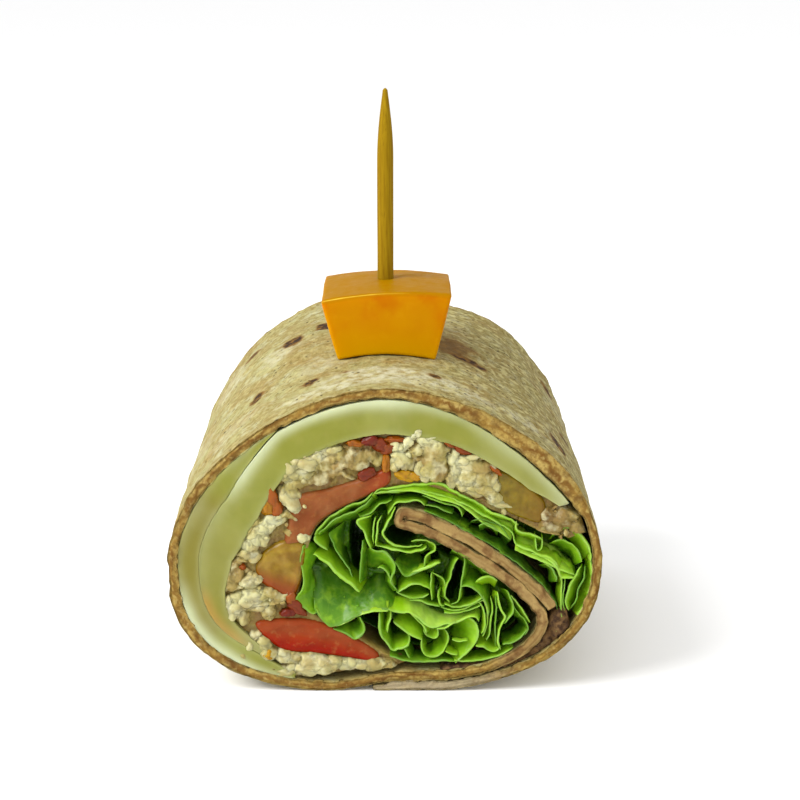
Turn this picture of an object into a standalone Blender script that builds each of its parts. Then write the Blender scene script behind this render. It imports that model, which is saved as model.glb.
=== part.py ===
"""A cut piece of a shredded chicken wrap, held shut by a toothpick that carries a cube of orange melon.

The wrap lies along Y and shows its filling at both cut ends. One wheat tortilla is rolled from inside out:
its inner end is folded double and lies in the lettuce, and its outer end tucks under the roll. Every layer
is drawn once as a section in X and Z, then run along the wrap. Lengths are in metres, +Z is up, and the
origin is the middle of the patch that the wrap rests on.
"""

import math

import bmesh
import bpy
import numpy as np
from mathutils import Vector

MM = 0.001

# The whole piece
HALF_WIDTH = 29.2 * MM
CENTRE_HEIGHT = 19.0 * MM  # height of the widest place
RISE = 23.9 * MM  # from the widest place up to the top
DROP = 19.4 * MM  # from the widest place down; a little is pressed flat by the table
LENGTH = 50.0 * MM
# How square each quarter of the section is: 2 is an ellipse, more is squarer
SQUARE_TOP_RIGHT, SQUARE_TOP_LEFT, SQUARE_LOW_LEFT, SQUARE_LOW_RIGHT = 1.85, 1.75, 2.7, 2.4
# The roll is fuller towards its far end, as a share of the distance from its middle
FULLER_LEFT, FULLER_RIGHT = 0.095, 0.045
FULLER_LEFT_AT, FULLER_RIGHT_AT, FULLER_REACH = math.radians(135), math.radians(38), math.radians(48)
STATIONS = 6  # sections along the wrap

# Layers
GAP = 0.3 * MM  # between pieces that touch
TORTILLA = 1.6 * MM
FOLDED_TORTILLA = 1.5 * MM
FOLD_GAP = 0.15 * MM
OUTER_END = math.radians(265)
LIFT_FROM, LIFT_TO = math.radians(608), math.radians(638)  # where the sheet climbs onto its own outer end
LEAVE_RIM = math.radians(670)  # where the sheet turns up into the filling
END_TAPER = math.radians(12)  # the outer end thins over this turn, to END_SHARE of its thickness
END_SHARE = 0.5
LEFT_CHEESE = 2.1 * MM
# The long slice of cheese: angle about the middle, how deep its outer face lies, its thickness
LONG_CHEESE = [(19, 2.5, 1.0), (30, 3.3, 2.2), (45, 3.4, 2.7), (62, 2.7, 3.4), (80, 2.0, 4.3), (105, 1.9, 4.5),
               (128, 1.95, 4.5), (140, 3.0, 4.6), (154, 4.3, 4.3), (170, 4.3, 4.4), (186, 4.3, 2.6), (200, 4.3, 1.6),
               (214, 4.3, 1.2)]

# Toothpick and melon cube
PICK_X = -0.3 * MM
PICK_RADIUS = 1.1 * MM
PICK_LENGTH = 65.0 * MM
PICK_TOP = 79.0 * MM
PICK_TAPER = 10.0 * MM
PICK_TIP_RADIUS = 0.3 * MM
CUBE_X = 0.2 * MM
CUBE_Y = -0.6 * MM
CUBE_TOP_WIDTH, CUBE_BOTTOM_WIDTH = 17.4 * MM, 13.6 * MM
CUBE_DEPTH = 15.4 * MM
CUBE_TOP = 52.0 * MM
CUBE_ARCH = 1.3 * MM
CUBE_EDGE = 0.5 * MM

# The line along which the inner end of the sheet is folded double, from its hairpin outwards
FOLD_LINE = [(3.3, 24.6), (5.4, 24.0), (9.9, 21.7), (13.5, 19.3), (16.7, 17.0), (20.3, 13.7), (21.9, 11.6)]

# Sections of the filling in millimetres, X then Z, a few points round each piece
UPPER_TOMATO = [(-12.1, 22.0), (-12.2, 25.0), (-11.3, 27.9), (-7.3, 28.9), (-2.3, 30.6), (0.4, 31.5), (0.6, 30.2),
                (-2.0, 28.3), (-6.0, 26.2), (-8.8, 24.2), (-10.4, 22.4)]
LOWER_TOMATO = [(-17.2, 9.3), (-15.0, 9.9), (-10.8, 9.8), (-6.8, 8.7), (-3.4, 6.7), (-1.4, 5.0), (-2.2, 4.3),
                (-4.7, 5.5), (-9.5, 6.1), (-13.6, 6.5), (-16.0, 8.1)]
LEFT_PEPPER = [(-12.6, 21.3), (-11.0, 20.9), (-11.2, 18.4), (-12.0, 15.4), (-12.9, 14.1), (-14.4, 14.6),
               (-16.1, 16.2), (-16.4, 18.0), (-15.0, 19.9)]
RIGHT_PEPPER = [(15.8, 30.2), (17.6, 29.5), (20.0, 27.5), (20.5, 26.0), (20.1, 24.8), (18.2, 25.4), (16.2, 26.8),
                (15.6, 28.4)]
TOP_CHICKEN = [(-12.9, 30.4), (-10.5, 32.3), (-5.2, 34.2), (0.0, 35.2), (4.6, 35.4), (8.6, 34.4), (12.7, 32.3),
               (15.1, 30.2), (14.9, 27.0), (11.0, 28.6), (7.0, 30.1), (2.3, 30.5), (1.2, 32.4), (-2.6, 31.3),
               (-7.4, 29.7), (-12.0, 28.6), (-12.9, 26.6), (-13.6, 28.2)]
LEFT_CHICKEN = [(-15.6, 25.0), (-13.0, 25.2), (-12.9, 22.3), (-15.5, 20.6), (-17.0, 18.6), (-16.7, 15.8),
                (-14.5, 14.1), (-12.4, 12.6), (-13.4, 11.0), (-17.6, 10.1), (-20.8, 11.4), (-21.4, 14.1),
                (-20.6, 16.7), (-18.2, 19.5), (-17.2, 22.3)]
LOW_CHICKEN = [(-18.3, 7.5), (-16.6, 7.2), (-13.7, 5.8), (-9.3, 5.4), (-4.9, 4.7), (-5.5, 3.6), (-9.6, 2.6),
               (-14.3, 2.8), (-17.0, 4.6)]
RIGHT_CHICKEN = [(21.2, 26.3), (22.9, 25.2), (24.8, 24.4), (25.2, 23.4), (23.4, 22.9), (21.4, 23.7), (20.9, 25.0)]
LEAF_CREST = [(-6.9, 25.0), (-4.6, 26.3), (-2.0, 27.6), (1.3, 28.8), (5.3, 28.7), (9.3, 27.5), (13.6, 25.6),
              (17.7, 24.1), (21.4, 22.3), (24.2, 22.3)]
LEAF_TIP = [(0.4, 26.2), (-2.6, 25.6), (-5.2, 24.6)]
HEART_CREST = [(-9.0, 22.9), (-7.4, 24.3), (-5.0, 24.2), (-2.5, 25.2), (0.3, 25.8)]
HEART_BASE = [(18.9, 11.8), (19.6, 9.6), (18.6, 8.0), (16.6, 6.5), (14.0, 5.2), (9.5, 4.4), (4.0, 4.3), (1.0, 4.8),
              (-1.8, 6.9), (-4.4, 8.6), (-7.5, 10.3), (-9.7, 11.6), (-11.1, 13.2), (-10.7, 16.0), (-10.1, 19.8)]


def clear_scene():
    """Removes what a new Blender file holds."""
    for obj in list(bpy.data.objects):
        bpy.data.objects.remove(obj)


def food_material(name, colour, roughness):
    """A plain Principled BSDF in the piece's own colour."""
    material = bpy.data.materials.new(name)
    material.use_nodes = True
    shader = material.node_tree.nodes["Principled BSDF"]
    shader.inputs["Base Color"].default_value = (*colour, 1.0)
    shader.inputs["Roughness"].default_value = roughness
    shader.inputs["Metallic"].default_value = 0.0
    return material


def smoothstep(x):
    """0 below 0, 1 above 1, and an S-curve between."""
    x = np.clip(x, 0.0, 1.0)
    return x * x * (3 - 2 * x)


def rim(angles, depth=0.0):
    """Points of the wrap's outline at these angles about its middle, moved inwards by depth.
    Each quarter is a superellipse, and the part below the table is pressed flat."""
    angles = np.asarray(angles, float)
    fine = 1e-3

    def outline(angle):
        c, s = np.cos(angle), np.sin(angle)
        square = np.where(s >= 0, np.where(c >= 0, SQUARE_TOP_RIGHT, SQUARE_TOP_LEFT),
                          np.where(c >= 0, SQUARE_LOW_RIGHT, SQUARE_LOW_LEFT))
        height = np.where(s >= 0, RISE, DROP)
        radius = (np.abs(c / HALF_WIDTH) ** square + np.abs(s / height) ** square) ** (-1 / square)
        return np.stack([radius * c, np.maximum(CENTRE_HEIGHT + radius * s, 0.0)], axis=-1)

    along = outline(angles + fine) - outline(angles - fine)
    along /= np.linalg.norm(along, axis=-1, keepdims=True)
    inward = np.stack([-along[:, 1], along[:, 0]], axis=-1)
    return outline(angles) + inward * np.reshape(depth, (-1, 1))


def smooth_through(points, per_span, closed=False):
    """Points along a Catmull-Rom curve through the given points, per_span for each stretch between them."""
    p = np.asarray(points, float)
    if closed:
        p = np.concatenate([p[-1:], p, p[:2]])
    else:
        p = np.concatenate([2 * p[:1] - p[1:2], p, 2 * p[-1:] - p[-2:-1]])
    t = (np.arange(per_span) / per_span)[None, :, None]
    a, b, c, d = (p[i : len(p) - 3 + i, None, :] for i in range(4))
    curve = 0.5 * (2 * b + (c - a) * t + (2 * a - 5 * b + 4 * c - d) * t**2 + (3 * b - a - 3 * c + d) * t**3)
    curve = curve.reshape(-1, 2)
    return curve if closed else np.concatenate([curve, p[-2:-1]])


def beside(path, distance):
    """A path moved sideways, to the left of its direction where distance is positive. One distance, or one a point."""
    along = np.gradient(path, axis=0)
    along /= np.linalg.norm(along, axis=1, keepdims=True)
    return path + np.stack([-along[:, 1], along[:, 0]], axis=1) * np.reshape(distance, (-1, 1))


def fold_line():
    """The line between the two halves of the folded inner end, from the hairpin to the open side."""
    return smooth_through(np.array(FOLD_LINE) * MM, 2)


def clear_of_fold(side, distance):
    """A line at this distance from the fold line, on its left (1) or right (-1), from its nose to its open end."""
    fold = fold_line()
    ahead = math.atan2(*(fold[1] - fold[0])[::-1])
    turn = ahead + math.pi - side * np.linspace(0, math.pi / 2, 5)[:-1]
    nose = fold[0] + distance * np.stack([np.cos(turn), np.sin(turn)], axis=1)
    return np.concatenate([nose, beside(fold, side * distance)])


def tortilla_path():
    """The middle of the sheet in section, from its outer end under the roll to its inner end beside the hairpin,
    and its thickness at each point."""
    turn = np.linspace(OUTER_END, LEAVE_RIM, 100)
    thick = TORTILLA * (END_SHARE + (1 - END_SHARE) * smoothstep((turn - OUTER_END) / END_TAPER))
    lift = (TORTILLA + FOLD_GAP) * smoothstep((turn - LIFT_FROM) / (LIFT_TO - LIFT_FROM))
    rolled = rim(turn, thick / 2 + lift)
    half = (FOLDED_TORTILLA + FOLD_GAP) / 2
    fold = fold_line()
    lower = beside(fold, -half)[::-1]
    upper = beside(fold, half)
    # the hairpin is a half circle round the fold line's first point
    start = math.atan2(*(lower[-1] - fold[0])[::-1])
    sweep = start - np.linspace(0, math.pi, 8)[1:-1]
    hairpin = fold[0] + half * np.stack([np.cos(sweep), np.sin(sweep)], axis=1)
    rise = smooth_through([rolled[-1], (18.3 * MM, 5.5 * MM), (20.3 * MM, 7.4 * MM), (21.3 * MM, 9.3 * MM), lower[0]],
                          3)[1:-1]
    folded = np.full(len(rise) + len(lower) + len(hairpin) + len(upper), FOLDED_TORTILLA)
    return np.concatenate([rolled, rise, lower, hairpin, upper]), np.concatenate([thick, folded])


def fuller_behind(points):
    """Moves points away from the wrap's middle line, more towards the far end, so that its shoulders swell."""
    x, y, z = points.T
    up = z - CENTRE_HEIGHT
    angle = np.arctan2(up, x)
    back = smoothstep(y / LENGTH + 0.5)
    swell = np.zeros_like(x)
    for amount, place in ((FULLER_LEFT, FULLER_LEFT_AT), (FULLER_RIGHT, FULLER_RIGHT_AT)):
        near = np.clip((angle - place) / FULLER_REACH, -1, 1)
        swell += amount * np.cos(near * math.pi / 2) ** 2
    scale = 1 + swell * back
    return np.stack([x * scale, y, CENTRE_HEIGHT + up * scale], axis=1)


def stations(recess):
    """Places along Y of the sections, each end set back by recess."""
    half = LENGTH / 2 - recess
    return np.linspace(-half, half, STATIONS)


def finish_mesh(name, form, material, collection):
    """Makes an object of a bmesh, with its points moved by fuller_behind and its faces pointing out."""
    points = fuller_behind(np.array([v.co for v in form.verts]))
    for vertex, place in zip(form.verts, points):
        vertex.co = place
    bmesh.ops.recalc_face_normals(form, faces=form.faces)
    mesh = bpy.data.meshes.new(name)
    form.to_mesh(mesh)
    form.free()
    mesh.materials.append(material)
    obj = bpy.data.objects.new(name, mesh)
    collection.objects.link(obj)
    return obj


def sheet_along_wrap(name, path, thickness, recess, material, collection, share=None):
    """A sheet: its middle line in section, run along Y and given its thickness by Solidify.
    share is the thickness at each point of the path as a share of the greatest."""
    form = bmesh.new()
    places = stations(recess)
    row = [form.verts.new((x, places[0], z)) for x, z in path]
    edges = [form.edges.new(pair) for pair in zip(row, row[1:])]
    for before, after in zip(places, places[1:]):
        made = bmesh.ops.extrude_edge_only(form, edges=edges)["geom"]
        bmesh.ops.translate(form, verts=[g for g in made if isinstance(g, bmesh.types.BMVert)],
                            vec=(0, after - before, 0))
        edges = [g for g in made if isinstance(g, bmesh.types.BMEdge)
                 and all(abs(v.co.y - after) < 1e-7 for v in g.verts)]
    obj = finish_mesh(name, form, material, collection)
    solidify = obj.modifiers.new("thickness", "SOLIDIFY")
    solidify.thickness = thickness
    solidify.offset = 0.0
    solidify.use_even_offset = True
    if share is not None:
        group = obj.vertex_groups.new(name="thickness")
        count = len(path)
        for index in range(len(obj.data.vertices)):
            group.add([index], float(share[index % count]), "REPLACE")
        solidify.vertex_group = group.name
    return obj


def solid_along_wrap(name, outline, recess, material, collection):
    """A solid of one closed section, run along Y."""
    form = bmesh.new()
    places = stations(recess)
    face = form.faces.new([form.verts.new((x, places[0], z)) for x, z in outline])
    for before, after in zip(places, places[1:]):
        made = bmesh.ops.extrude_face_region(form, geom=[face])["geom"]
        bmesh.ops.translate(form, verts=[g for g in made if isinstance(g, bmesh.types.BMVert)],
                            vec=(0, after - before, 0))
        old, face = face, next(g for g in made if isinstance(g, bmesh.types.BMFace))
        if before != places[0]:
            bmesh.ops.delete(form, geom=[old], context="FACES_ONLY")
    return finish_mesh(name, form, material, collection)


def uneven(outline, depth, seed):
    """An outline with its points pulled inwards by up to depth, as shreds and crumbs make it."""
    random = np.random.default_rng(seed)
    ahead, behind = np.roll(outline, -1, axis=0), np.roll(outline, 1, axis=0)
    along = ahead - behind
    along /= np.linalg.norm(along, axis=1, keepdims=True)
    left = np.stack([-along[:, 1], along[:, 0]], axis=1)
    area = np.sum(outline[:, 0] * ahead[:, 1] - ahead[:, 0] * outline[:, 1])
    return outline + left * np.sign(area) * random.uniform(0, depth, (len(outline), 1))


def filling(name, points, recess, material, collection, roughness=0.0, seed=0):
    """A piece of filling: a smooth closed section through its points, made uneven where roughness is given."""
    outline = smooth_through(np.array(points) * MM, 2, closed=True)
    if roughness:
        outline = uneven(outline, roughness, seed)
    return solid_along_wrap(name, outline, recess, material, collection)


def make_tortilla(collection):
    """The whole sheet, thinner at its outer end."""
    path, thick = tortilla_path()
    material = food_material("wheat_tortilla", (0.62, 0.47, 0.27), 0.8)
    return sheet_along_wrap("tortilla", path, TORTILLA, 0.0, material, collection, thick / TORTILLA)


def make_cheese(collection):
    """Two slices: a long one over the filling, and a thin one between it and the tortilla on the left."""
    material = food_material("cheese", (0.68, 0.72, 0.42), 0.35)
    angles, depths, thicknesses = np.array(LONG_CHEESE).T
    turn = np.linspace(angles[0], angles[-1], 44)
    thick = np.interp(turn, angles, thicknesses) * MM
    depth = np.interp(turn, angles, depths) * MM
    sheet_along_wrap("cheese_slice_long", rim(np.radians(turn), depth + thick / 2), thick.max(), 0.2 * MM,
                     material, collection, thick / thick.max())
    turn = np.radians(np.linspace(156, 216, 14))
    sheet_along_wrap("cheese_slice_left", rim(turn, TORTILLA + GAP + LEFT_CHEESE / 2), LEFT_CHEESE, 0.3 * MM,
                     material, collection)


def make_fillings(collection):
    """Tomato, sweet pepper, shredded chicken and lettuce, each through the whole wrap."""
    tomato = food_material("tomato", (0.62, 0.16, 0.08), 0.25)
    filling("tomato_slice_upper", UPPER_TOMATO, 0.5 * MM, tomato, collection)
    filling("tomato_slice_lower", LOWER_TOMATO, 0.4 * MM, tomato, collection)
    pepper = food_material("sweet_pepper", (0.68, 0.40, 0.08), 0.25)
    filling("pepper_strip_left", LEFT_PEPPER, 0.5 * MM, pepper, collection)
    filling("pepper_strip_right", RIGHT_PEPPER, 0.6 * MM, pepper, collection)
    chicken = food_material("shredded_chicken", (0.78, 0.68, 0.48), 0.6)
    heaps = (("top", TOP_CHICKEN), ("left", LEFT_CHICKEN), ("low", LOW_CHICKEN), ("right", RIGHT_CHICKEN))
    for seed, (place, points) in enumerate(heaps):
        filling(f"chicken_{place}", points, 0.3 * MM, chicken, collection, 0.22 * MM, seed)
    lettuce = food_material("lettuce", (0.18, 0.42, 0.04), 0.4)
    clear = FOLDED_TORTILLA + FOLD_GAP / 2 + 1.3 * GAP
    right = rim(np.radians(np.linspace(7, -17, 6)), TORTILLA + 1.5 * GAP)
    over = clear_of_fold(1, clear)[2:-2]
    outer = np.concatenate([np.array(LEAF_CREST) * MM, right, over[::-1], np.array(LEAF_TIP) * MM])
    solid_along_wrap("lettuce_outer_leaf", outer, 0.8 * MM, lettuce, collection)
    under = clear_of_fold(-1, clear)[:-2]
    heart = np.concatenate([np.array(HEART_CREST) * MM, under, np.array(HEART_BASE) * MM])
    solid_along_wrap("lettuce_heart", heart, 0.8 * MM, lettuce, collection)


def make_cube(collection):
    """The melon cube: a block that narrows downwards, with an arched top and a base that follows the roll."""
    form = bmesh.new()
    bmesh.ops.create_cube(form, size=1.0)
    bmesh.ops.subdivide_edges(form, edges=form.edges[:], cuts=5, use_grid_fill=True)
    for vertex in form.verts:
        across, along, up = vertex.co.x, vertex.co.y, vertex.co.z + 0.5
        width = CUBE_BOTTOM_WIDTH + (CUBE_TOP_WIDTH - CUBE_BOTTOM_WIDTH) * up
        x = CUBE_X + across * width
        top = CUBE_TOP + CUBE_ARCH * (1 - (2 * across) ** 2 * 0.8 - (2 * along) ** 2 * 0.3)
        base = float(roll_top(x)) + GAP
        vertex.co = Vector((x, CUBE_Y + along * CUBE_DEPTH, base + (top - base) * up))
    bmesh.ops.recalc_face_normals(form, faces=form.faces)
    mesh = bpy.data.meshes.new("melon_cube")
    form.to_mesh(mesh)
    form.free()
    mesh.materials.append(food_material("orange_melon", (0.80, 0.38, 0.02), 0.12))
    cube = bpy.data.objects.new("melon_cube", mesh)
    collection.objects.link(cube)
    bevel = cube.modifiers.new("edges", "BEVEL")
    bevel.width = CUBE_EDGE
    bevel.segments = 2
    bevel.limit_method = "ANGLE"
    bevel.angle_limit = math.radians(50)
    return cube


def roll_top(x):
    """Height of the roll's outside straight above x, at its fuller far end, which is the higher one."""
    angles = np.radians(np.linspace(45, 135, 181))
    curve = rim(angles)
    back = fuller_behind(np.stack([curve[:, 0], np.full(len(curve), LENGTH / 2), curve[:, 1]], axis=1))
    order = np.argsort(back[:, 0])
    return np.interp(x, back[order, 0], back[order, 2])


def turned(name, profile, sides, material, collection):
    """A turned piece: a profile of radius and height, top to bottom, about the toothpick's axis."""
    form = bmesh.new()
    row = [form.verts.new((radius, 0, height)) for radius, height in profile]
    for pair in zip(row, row[1:]):
        form.edges.new(pair)
    mesh = bpy.data.meshes.new(name)
    form.to_mesh(mesh)
    form.free()
    if material:
        mesh.materials.append(material)
    obj = bpy.data.objects.new(name, mesh)
    obj.location.x = PICK_X
    collection.objects.link(obj)
    screw = obj.modifiers.new("turn", "SCREW")
    screw.steps = screw.render_steps = sides
    screw.use_merge_vertices = True
    screw.merge_threshold = 0.02 * MM
    return obj


def make_toothpick(collection):
    """A round wooden pick, pointed at both ends, with blunt tips."""
    bottom = PICK_TOP - PICK_LENGTH
    share = np.linspace(0, 1, 4)
    radii = PICK_TIP_RADIUS + (PICK_RADIUS - PICK_TIP_RADIUS) * np.sin(share * math.pi / 2)
    tip = 0.25 * MM  # height of the rounding at each tip
    top = [(r, PICK_TOP - tip - s * PICK_TAPER) for r, s in zip(radii, share)]
    low = [(r, bottom + tip + s * PICK_TAPER) for r, s in zip(radii, share)][::-1]
    profile = [(0, PICK_TOP), *top, *low, (0, bottom)]
    return turned("toothpick", profile, 14, food_material("bamboo", (0.66, 0.50, 0.14), 0.5), collection)


def pierce(parts, collection):
    """Cuts the toothpick's way through each part, a gap wider than the pick."""
    radius = PICK_RADIUS + GAP
    low, high = PICK_TOP - PICK_LENGTH - GAP, CUBE_TOP + 4 * MM
    cutter = turned("pick_channel", [(0, high), (radius, high), (radius, low), (0, low)], 14, None, collection)
    cutter.hide_render = True
    cutter.display_type = "WIRE"
    for part in parts:
        cut = part.modifiers.new("toothpick", "BOOLEAN")
        cut.operation = "DIFFERENCE"
        cut.object = cutter


def main():
    clear_scene()
    wrap = bpy.data.collections.new("chicken_wrap")
    cutters = bpy.data.collections.new("cutters")
    for collection in (wrap, cutters):
        bpy.context.scene.collection.children.link(collection)
    make_tortilla(wrap)
    make_cheese(wrap)
    make_fillings(wrap)
    make_cube(wrap)
    make_toothpick(wrap)
    pierced = ("tortilla", "cheese_slice_long", "chicken_top", "tomato_slice_upper", "lettuce_outer_leaf",
               "lettuce_heart", "melon_cube")
    pierce([bpy.data.objects[name] for name in pierced], cutters)


main()
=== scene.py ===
# %% [markdown]
# # A shredded chicken wrap, piece by piece
# One cut piece of a rolled wheat tortilla lies on a pale floor. Both cut ends show cheese, chicken, tomato,
# sweet pepper and lettuce, and a toothpick with a cube of orange melon holds the roll shut. The frame
# already holds a plain solid for every layer. This script gives each of them its real surface, at the same
# place.

# %% The frame
import math

import bpy
import numpy as np
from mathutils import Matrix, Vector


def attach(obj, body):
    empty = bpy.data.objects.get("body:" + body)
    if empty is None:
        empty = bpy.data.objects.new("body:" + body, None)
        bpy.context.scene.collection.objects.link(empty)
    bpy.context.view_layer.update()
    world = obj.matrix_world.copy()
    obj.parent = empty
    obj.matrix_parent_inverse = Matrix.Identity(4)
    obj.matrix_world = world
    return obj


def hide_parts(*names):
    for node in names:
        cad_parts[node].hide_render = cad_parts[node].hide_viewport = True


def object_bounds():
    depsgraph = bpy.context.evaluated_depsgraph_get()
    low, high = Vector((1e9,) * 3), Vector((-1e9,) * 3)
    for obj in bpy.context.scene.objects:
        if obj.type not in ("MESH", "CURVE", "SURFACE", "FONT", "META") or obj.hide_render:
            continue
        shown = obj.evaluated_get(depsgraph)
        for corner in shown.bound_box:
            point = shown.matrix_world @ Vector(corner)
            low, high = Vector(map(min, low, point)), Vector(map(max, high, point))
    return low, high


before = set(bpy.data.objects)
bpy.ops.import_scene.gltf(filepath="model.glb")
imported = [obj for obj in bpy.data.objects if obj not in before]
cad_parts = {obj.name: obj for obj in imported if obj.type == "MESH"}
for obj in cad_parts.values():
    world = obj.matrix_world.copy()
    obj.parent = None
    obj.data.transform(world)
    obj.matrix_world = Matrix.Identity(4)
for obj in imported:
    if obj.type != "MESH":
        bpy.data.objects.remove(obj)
cad_low, cad_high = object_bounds()
cad_size = [round(1000 * (high - low), 1) for low, high in zip(cad_low, cad_high)]
print("frame:", len(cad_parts), "nodes, box", cad_size, "mm")

# %% [markdown]
# The camera comes first, so that a test render is possible after every step. It stands a little above the
# wrap and looks straight at the near cut end. The light is a white room with one large soft lamp on the
# upper left, which, with painted shade on the right side of the tortilla, tells the top, the left and the
# right side apart.

# %% Camera, floor and light
MM = 0.001
CAMERA_PLACE = (0.002005, -0.271893, 0.110998)
CAMERA_DOWN = 15.756  # degrees below the horizon
LENS = 88.2  # mm, on a 36 mm sensor
SEEN_RISE = math.tan(math.radians(CAMERA_DOWN))  # how much a millimetre of depth lifts a point in the view


def aim(obj, target):
    """Turns an object so that its -Z axis points from where it is to the target."""
    away = np.array(target) - np.array(obj.location)
    flat = math.hypot(away[0], away[1])
    obj.rotation_euler = (math.atan2(flat, -away[2]), 0, math.atan2(-away[0], away[1]))


camera = bpy.data.objects.new("camera", bpy.data.cameras.new("camera"))
camera.data.lens = LENS
camera.data.sensor_width = 36
camera.location = CAMERA_PLACE
camera.rotation_euler = (math.radians(90 - CAMERA_DOWN), 0, 0)
bpy.context.scene.collection.objects.link(camera)
bpy.context.scene.camera = camera

for name, place, size, power in (
    ("key_lamp", (-0.34, -0.20, 0.36), 0.30, 2.6),
    ("front_lamp", (0.08, -0.60, 0.20), 0.30, 0.2),
):
    lamp = bpy.data.objects.new(name, bpy.data.lights.new(name, "AREA"))
    lamp.data.shape = "DISK"
    lamp.data.size = size
    lamp.data.energy = power
    lamp.location = place
    aim(lamp, (0, 0, 0.02))
    bpy.context.scene.collection.objects.link(lamp)

world = bpy.data.worlds.new("white_room")
world.use_nodes = True
world.node_tree.nodes["Background"].inputs["Color"].default_value = (1, 1, 1, 1)
world.node_tree.nodes["Background"].inputs["Strength"].default_value = 1.04
bpy.context.scene.world = world
bpy.context.scene.view_settings.view_transform = "Standard"

floor_size = 6.0
floor_mesh = bpy.data.meshes.new("floor")
corner = floor_size / 2
floor_mesh.from_pydata([(-corner, -corner, 0), (corner, -corner, 0), (corner, corner, 0), (-corner, corner, 0)],
                       [], [(0, 1, 2, 3)])
floor = bpy.data.objects.new("floor", floor_mesh)
bpy.context.scene.collection.objects.link(floor)
floor_look = bpy.data.materials.new("pale_floor")
floor_look.use_nodes = True
floor_look.node_tree.nodes["Principled BSDF"].inputs["Base Color"].default_value = (0.93, 0.93, 0.93, 1)
floor_look.node_tree.nodes["Principled BSDF"].inputs["Roughness"].default_value = 0.9
floor_mesh.materials.append(floor_look)
print("camera, two lamps and a floor")

# %% [markdown]
# Almost every piece here is a bent block: a slice of cheese, a strip of pepper and even the long tortilla
# have an end that shows, an end behind, and sides. So one helper makes the skin of a block of small cells,
# and each piece only says where a point of the block goes. The skin is closed, and no point is there twice.


# %% The skin of a block
def skin_of_block(cells):
    """The skin of a block of cells[0] x cells[1] x cells[2] cells. Gives the whole-number place of each of its
    points, once each, and its four-sided faces as numbers of points."""
    cells = np.array(cells)
    sides = []
    for axis, (u, v) in enumerate(((1, 2), (2, 0), (0, 1))):
        a, b = np.meshgrid(np.arange(cells[u]), np.arange(cells[v]), indexing="ij")
        for end in (0, 1):
            steps = ((0, 0), (1, 0), (1, 1), (0, 1))
            corners = np.zeros((*a.shape, 4, 3), int)
            for k, (du, dv) in enumerate(steps if end else steps[::-1]):
                corners[..., k, u] = a + du
                corners[..., k, v] = b + dv
                corners[..., k, axis] = end * cells[axis]
            sides.append(corners.reshape(-1, 4, 3))
    corners = np.concatenate(sides).reshape(-1, 3)
    number = (corners[:, 0] * (cells[1] + 1) + corners[:, 1]) * (cells[2] + 1) + corners[:, 2]
    _, first, index = np.unique(number, return_index=True, return_inverse=True)
    return corners[first], index.reshape(-1, 4)


def crowded(count, crowd):
    """count + 1 places from 0 to 1 that lie closer together at both ends: x - crowd * sin(2 pi x) / (2 pi)."""
    x = np.arange(count + 1) / count
    return x - crowd * np.sin(2 * math.pi * x) / (2 * math.pi)


print("a block of 2 x 2 x 2 cells has", len(skin_of_block((2, 2, 2))[0]), "points on its skin")

# %% [markdown]
# Food has no straight lines. Two kinds of unevenness are used below: a soft random field for swellings and
# ruffles, and crumbs, where each point takes the height of the highest of many small half balls.


# %% Unevenness
def field(points, size, seed, octaves=2):
    """Soft random values from about -1 to 1 at points (any number of columns). Random whole-number corners of a
    lattice get a value each, and between them the values are blended with an S-curve. Each octave is half as
    large and half as strong as the one before."""
    points = np.asarray(points, float)
    total, weight = 0.0, 0.0
    for octave in range(octaves):
        place = points * 2.0**octave / size + 17.3 * (seed % 97 + 1)
        low = np.floor(place)
        part = place - low
        part = part * part * (3 - 2 * part)
        value = 0.0
        for corner in np.ndindex(*(2,) * points.shape[-1]):
            whole = (low + corner).astype(np.int64)
            mixed = np.full(whole.shape[:-1], 374761393 * (seed + 31 * octave + 1), np.int64)
            for k, prime in zip(range(points.shape[-1]), (668265263, 2246822519, 3266489917)):
                mixed = (mixed ^ (whole[..., k] * prime)) & 0xFFFFFFFF
                mixed = (mixed * 2654435761) & 0xFFFFFFFF
                mixed = mixed ^ (mixed >> 15)
            share = np.prod(np.where(np.array(corner), part, 1 - part), axis=-1)
            value = value + share * (mixed / 2**31 - 1)
        total = total + value * 0.5**octave
        weight += 0.5**octave
    return total / weight


def crumbs(x, z, centres, radii):
    """Height of a bed of half balls: at each point the greatest of sqrt(radius^2 - distance^2), and 0 outside
    them all."""
    apart = (x[:, None] - centres[None, :, 0]) ** 2 + (z[:, None] - centres[None, :, 1]) ** 2
    height = np.sqrt(np.maximum(radii[None] ** 2 - apart, 0.0))
    return height.max(axis=1)


def smoothstep(x):
    """0 below 0, 1 above 1, and an S-curve between."""
    x = np.clip(x, 0.0, 1.0)
    return x * x * (3 - 2 * x)


sample = field(np.random.default_rng(0).uniform(0, 50, (2000, 3)), 3.0, 1)
print("field: from %.2f to %.2f" % (sample.min(), sample.max()))

# %% [markdown]
# The roll's outline decides where everything lies, so the near end is drawn with the same rule and sizes as
# the solids: a superellipse for each quarter, flat where it rests. The far end has fuller shoulders, which
# lie up to 1.2 mm away from those of the solids. Every piece is moved by the same swelling, so the layers
# stay together. All sizes here are in millimetres.

# %% The roll's outline
HALF_WIDTH = 29.2
CENTRE_HEIGHT = 19.0  # of the widest place
RISE, DROP = 23.9, 19.4  # from the widest place up and down
LENGTH = 50.0
SQUARE_TOP_RIGHT, SQUARE_TOP_LEFT, SQUARE_LOW_LEFT, SQUARE_LOW_RIGHT = 1.85, 1.75, 2.7, 2.4
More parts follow.
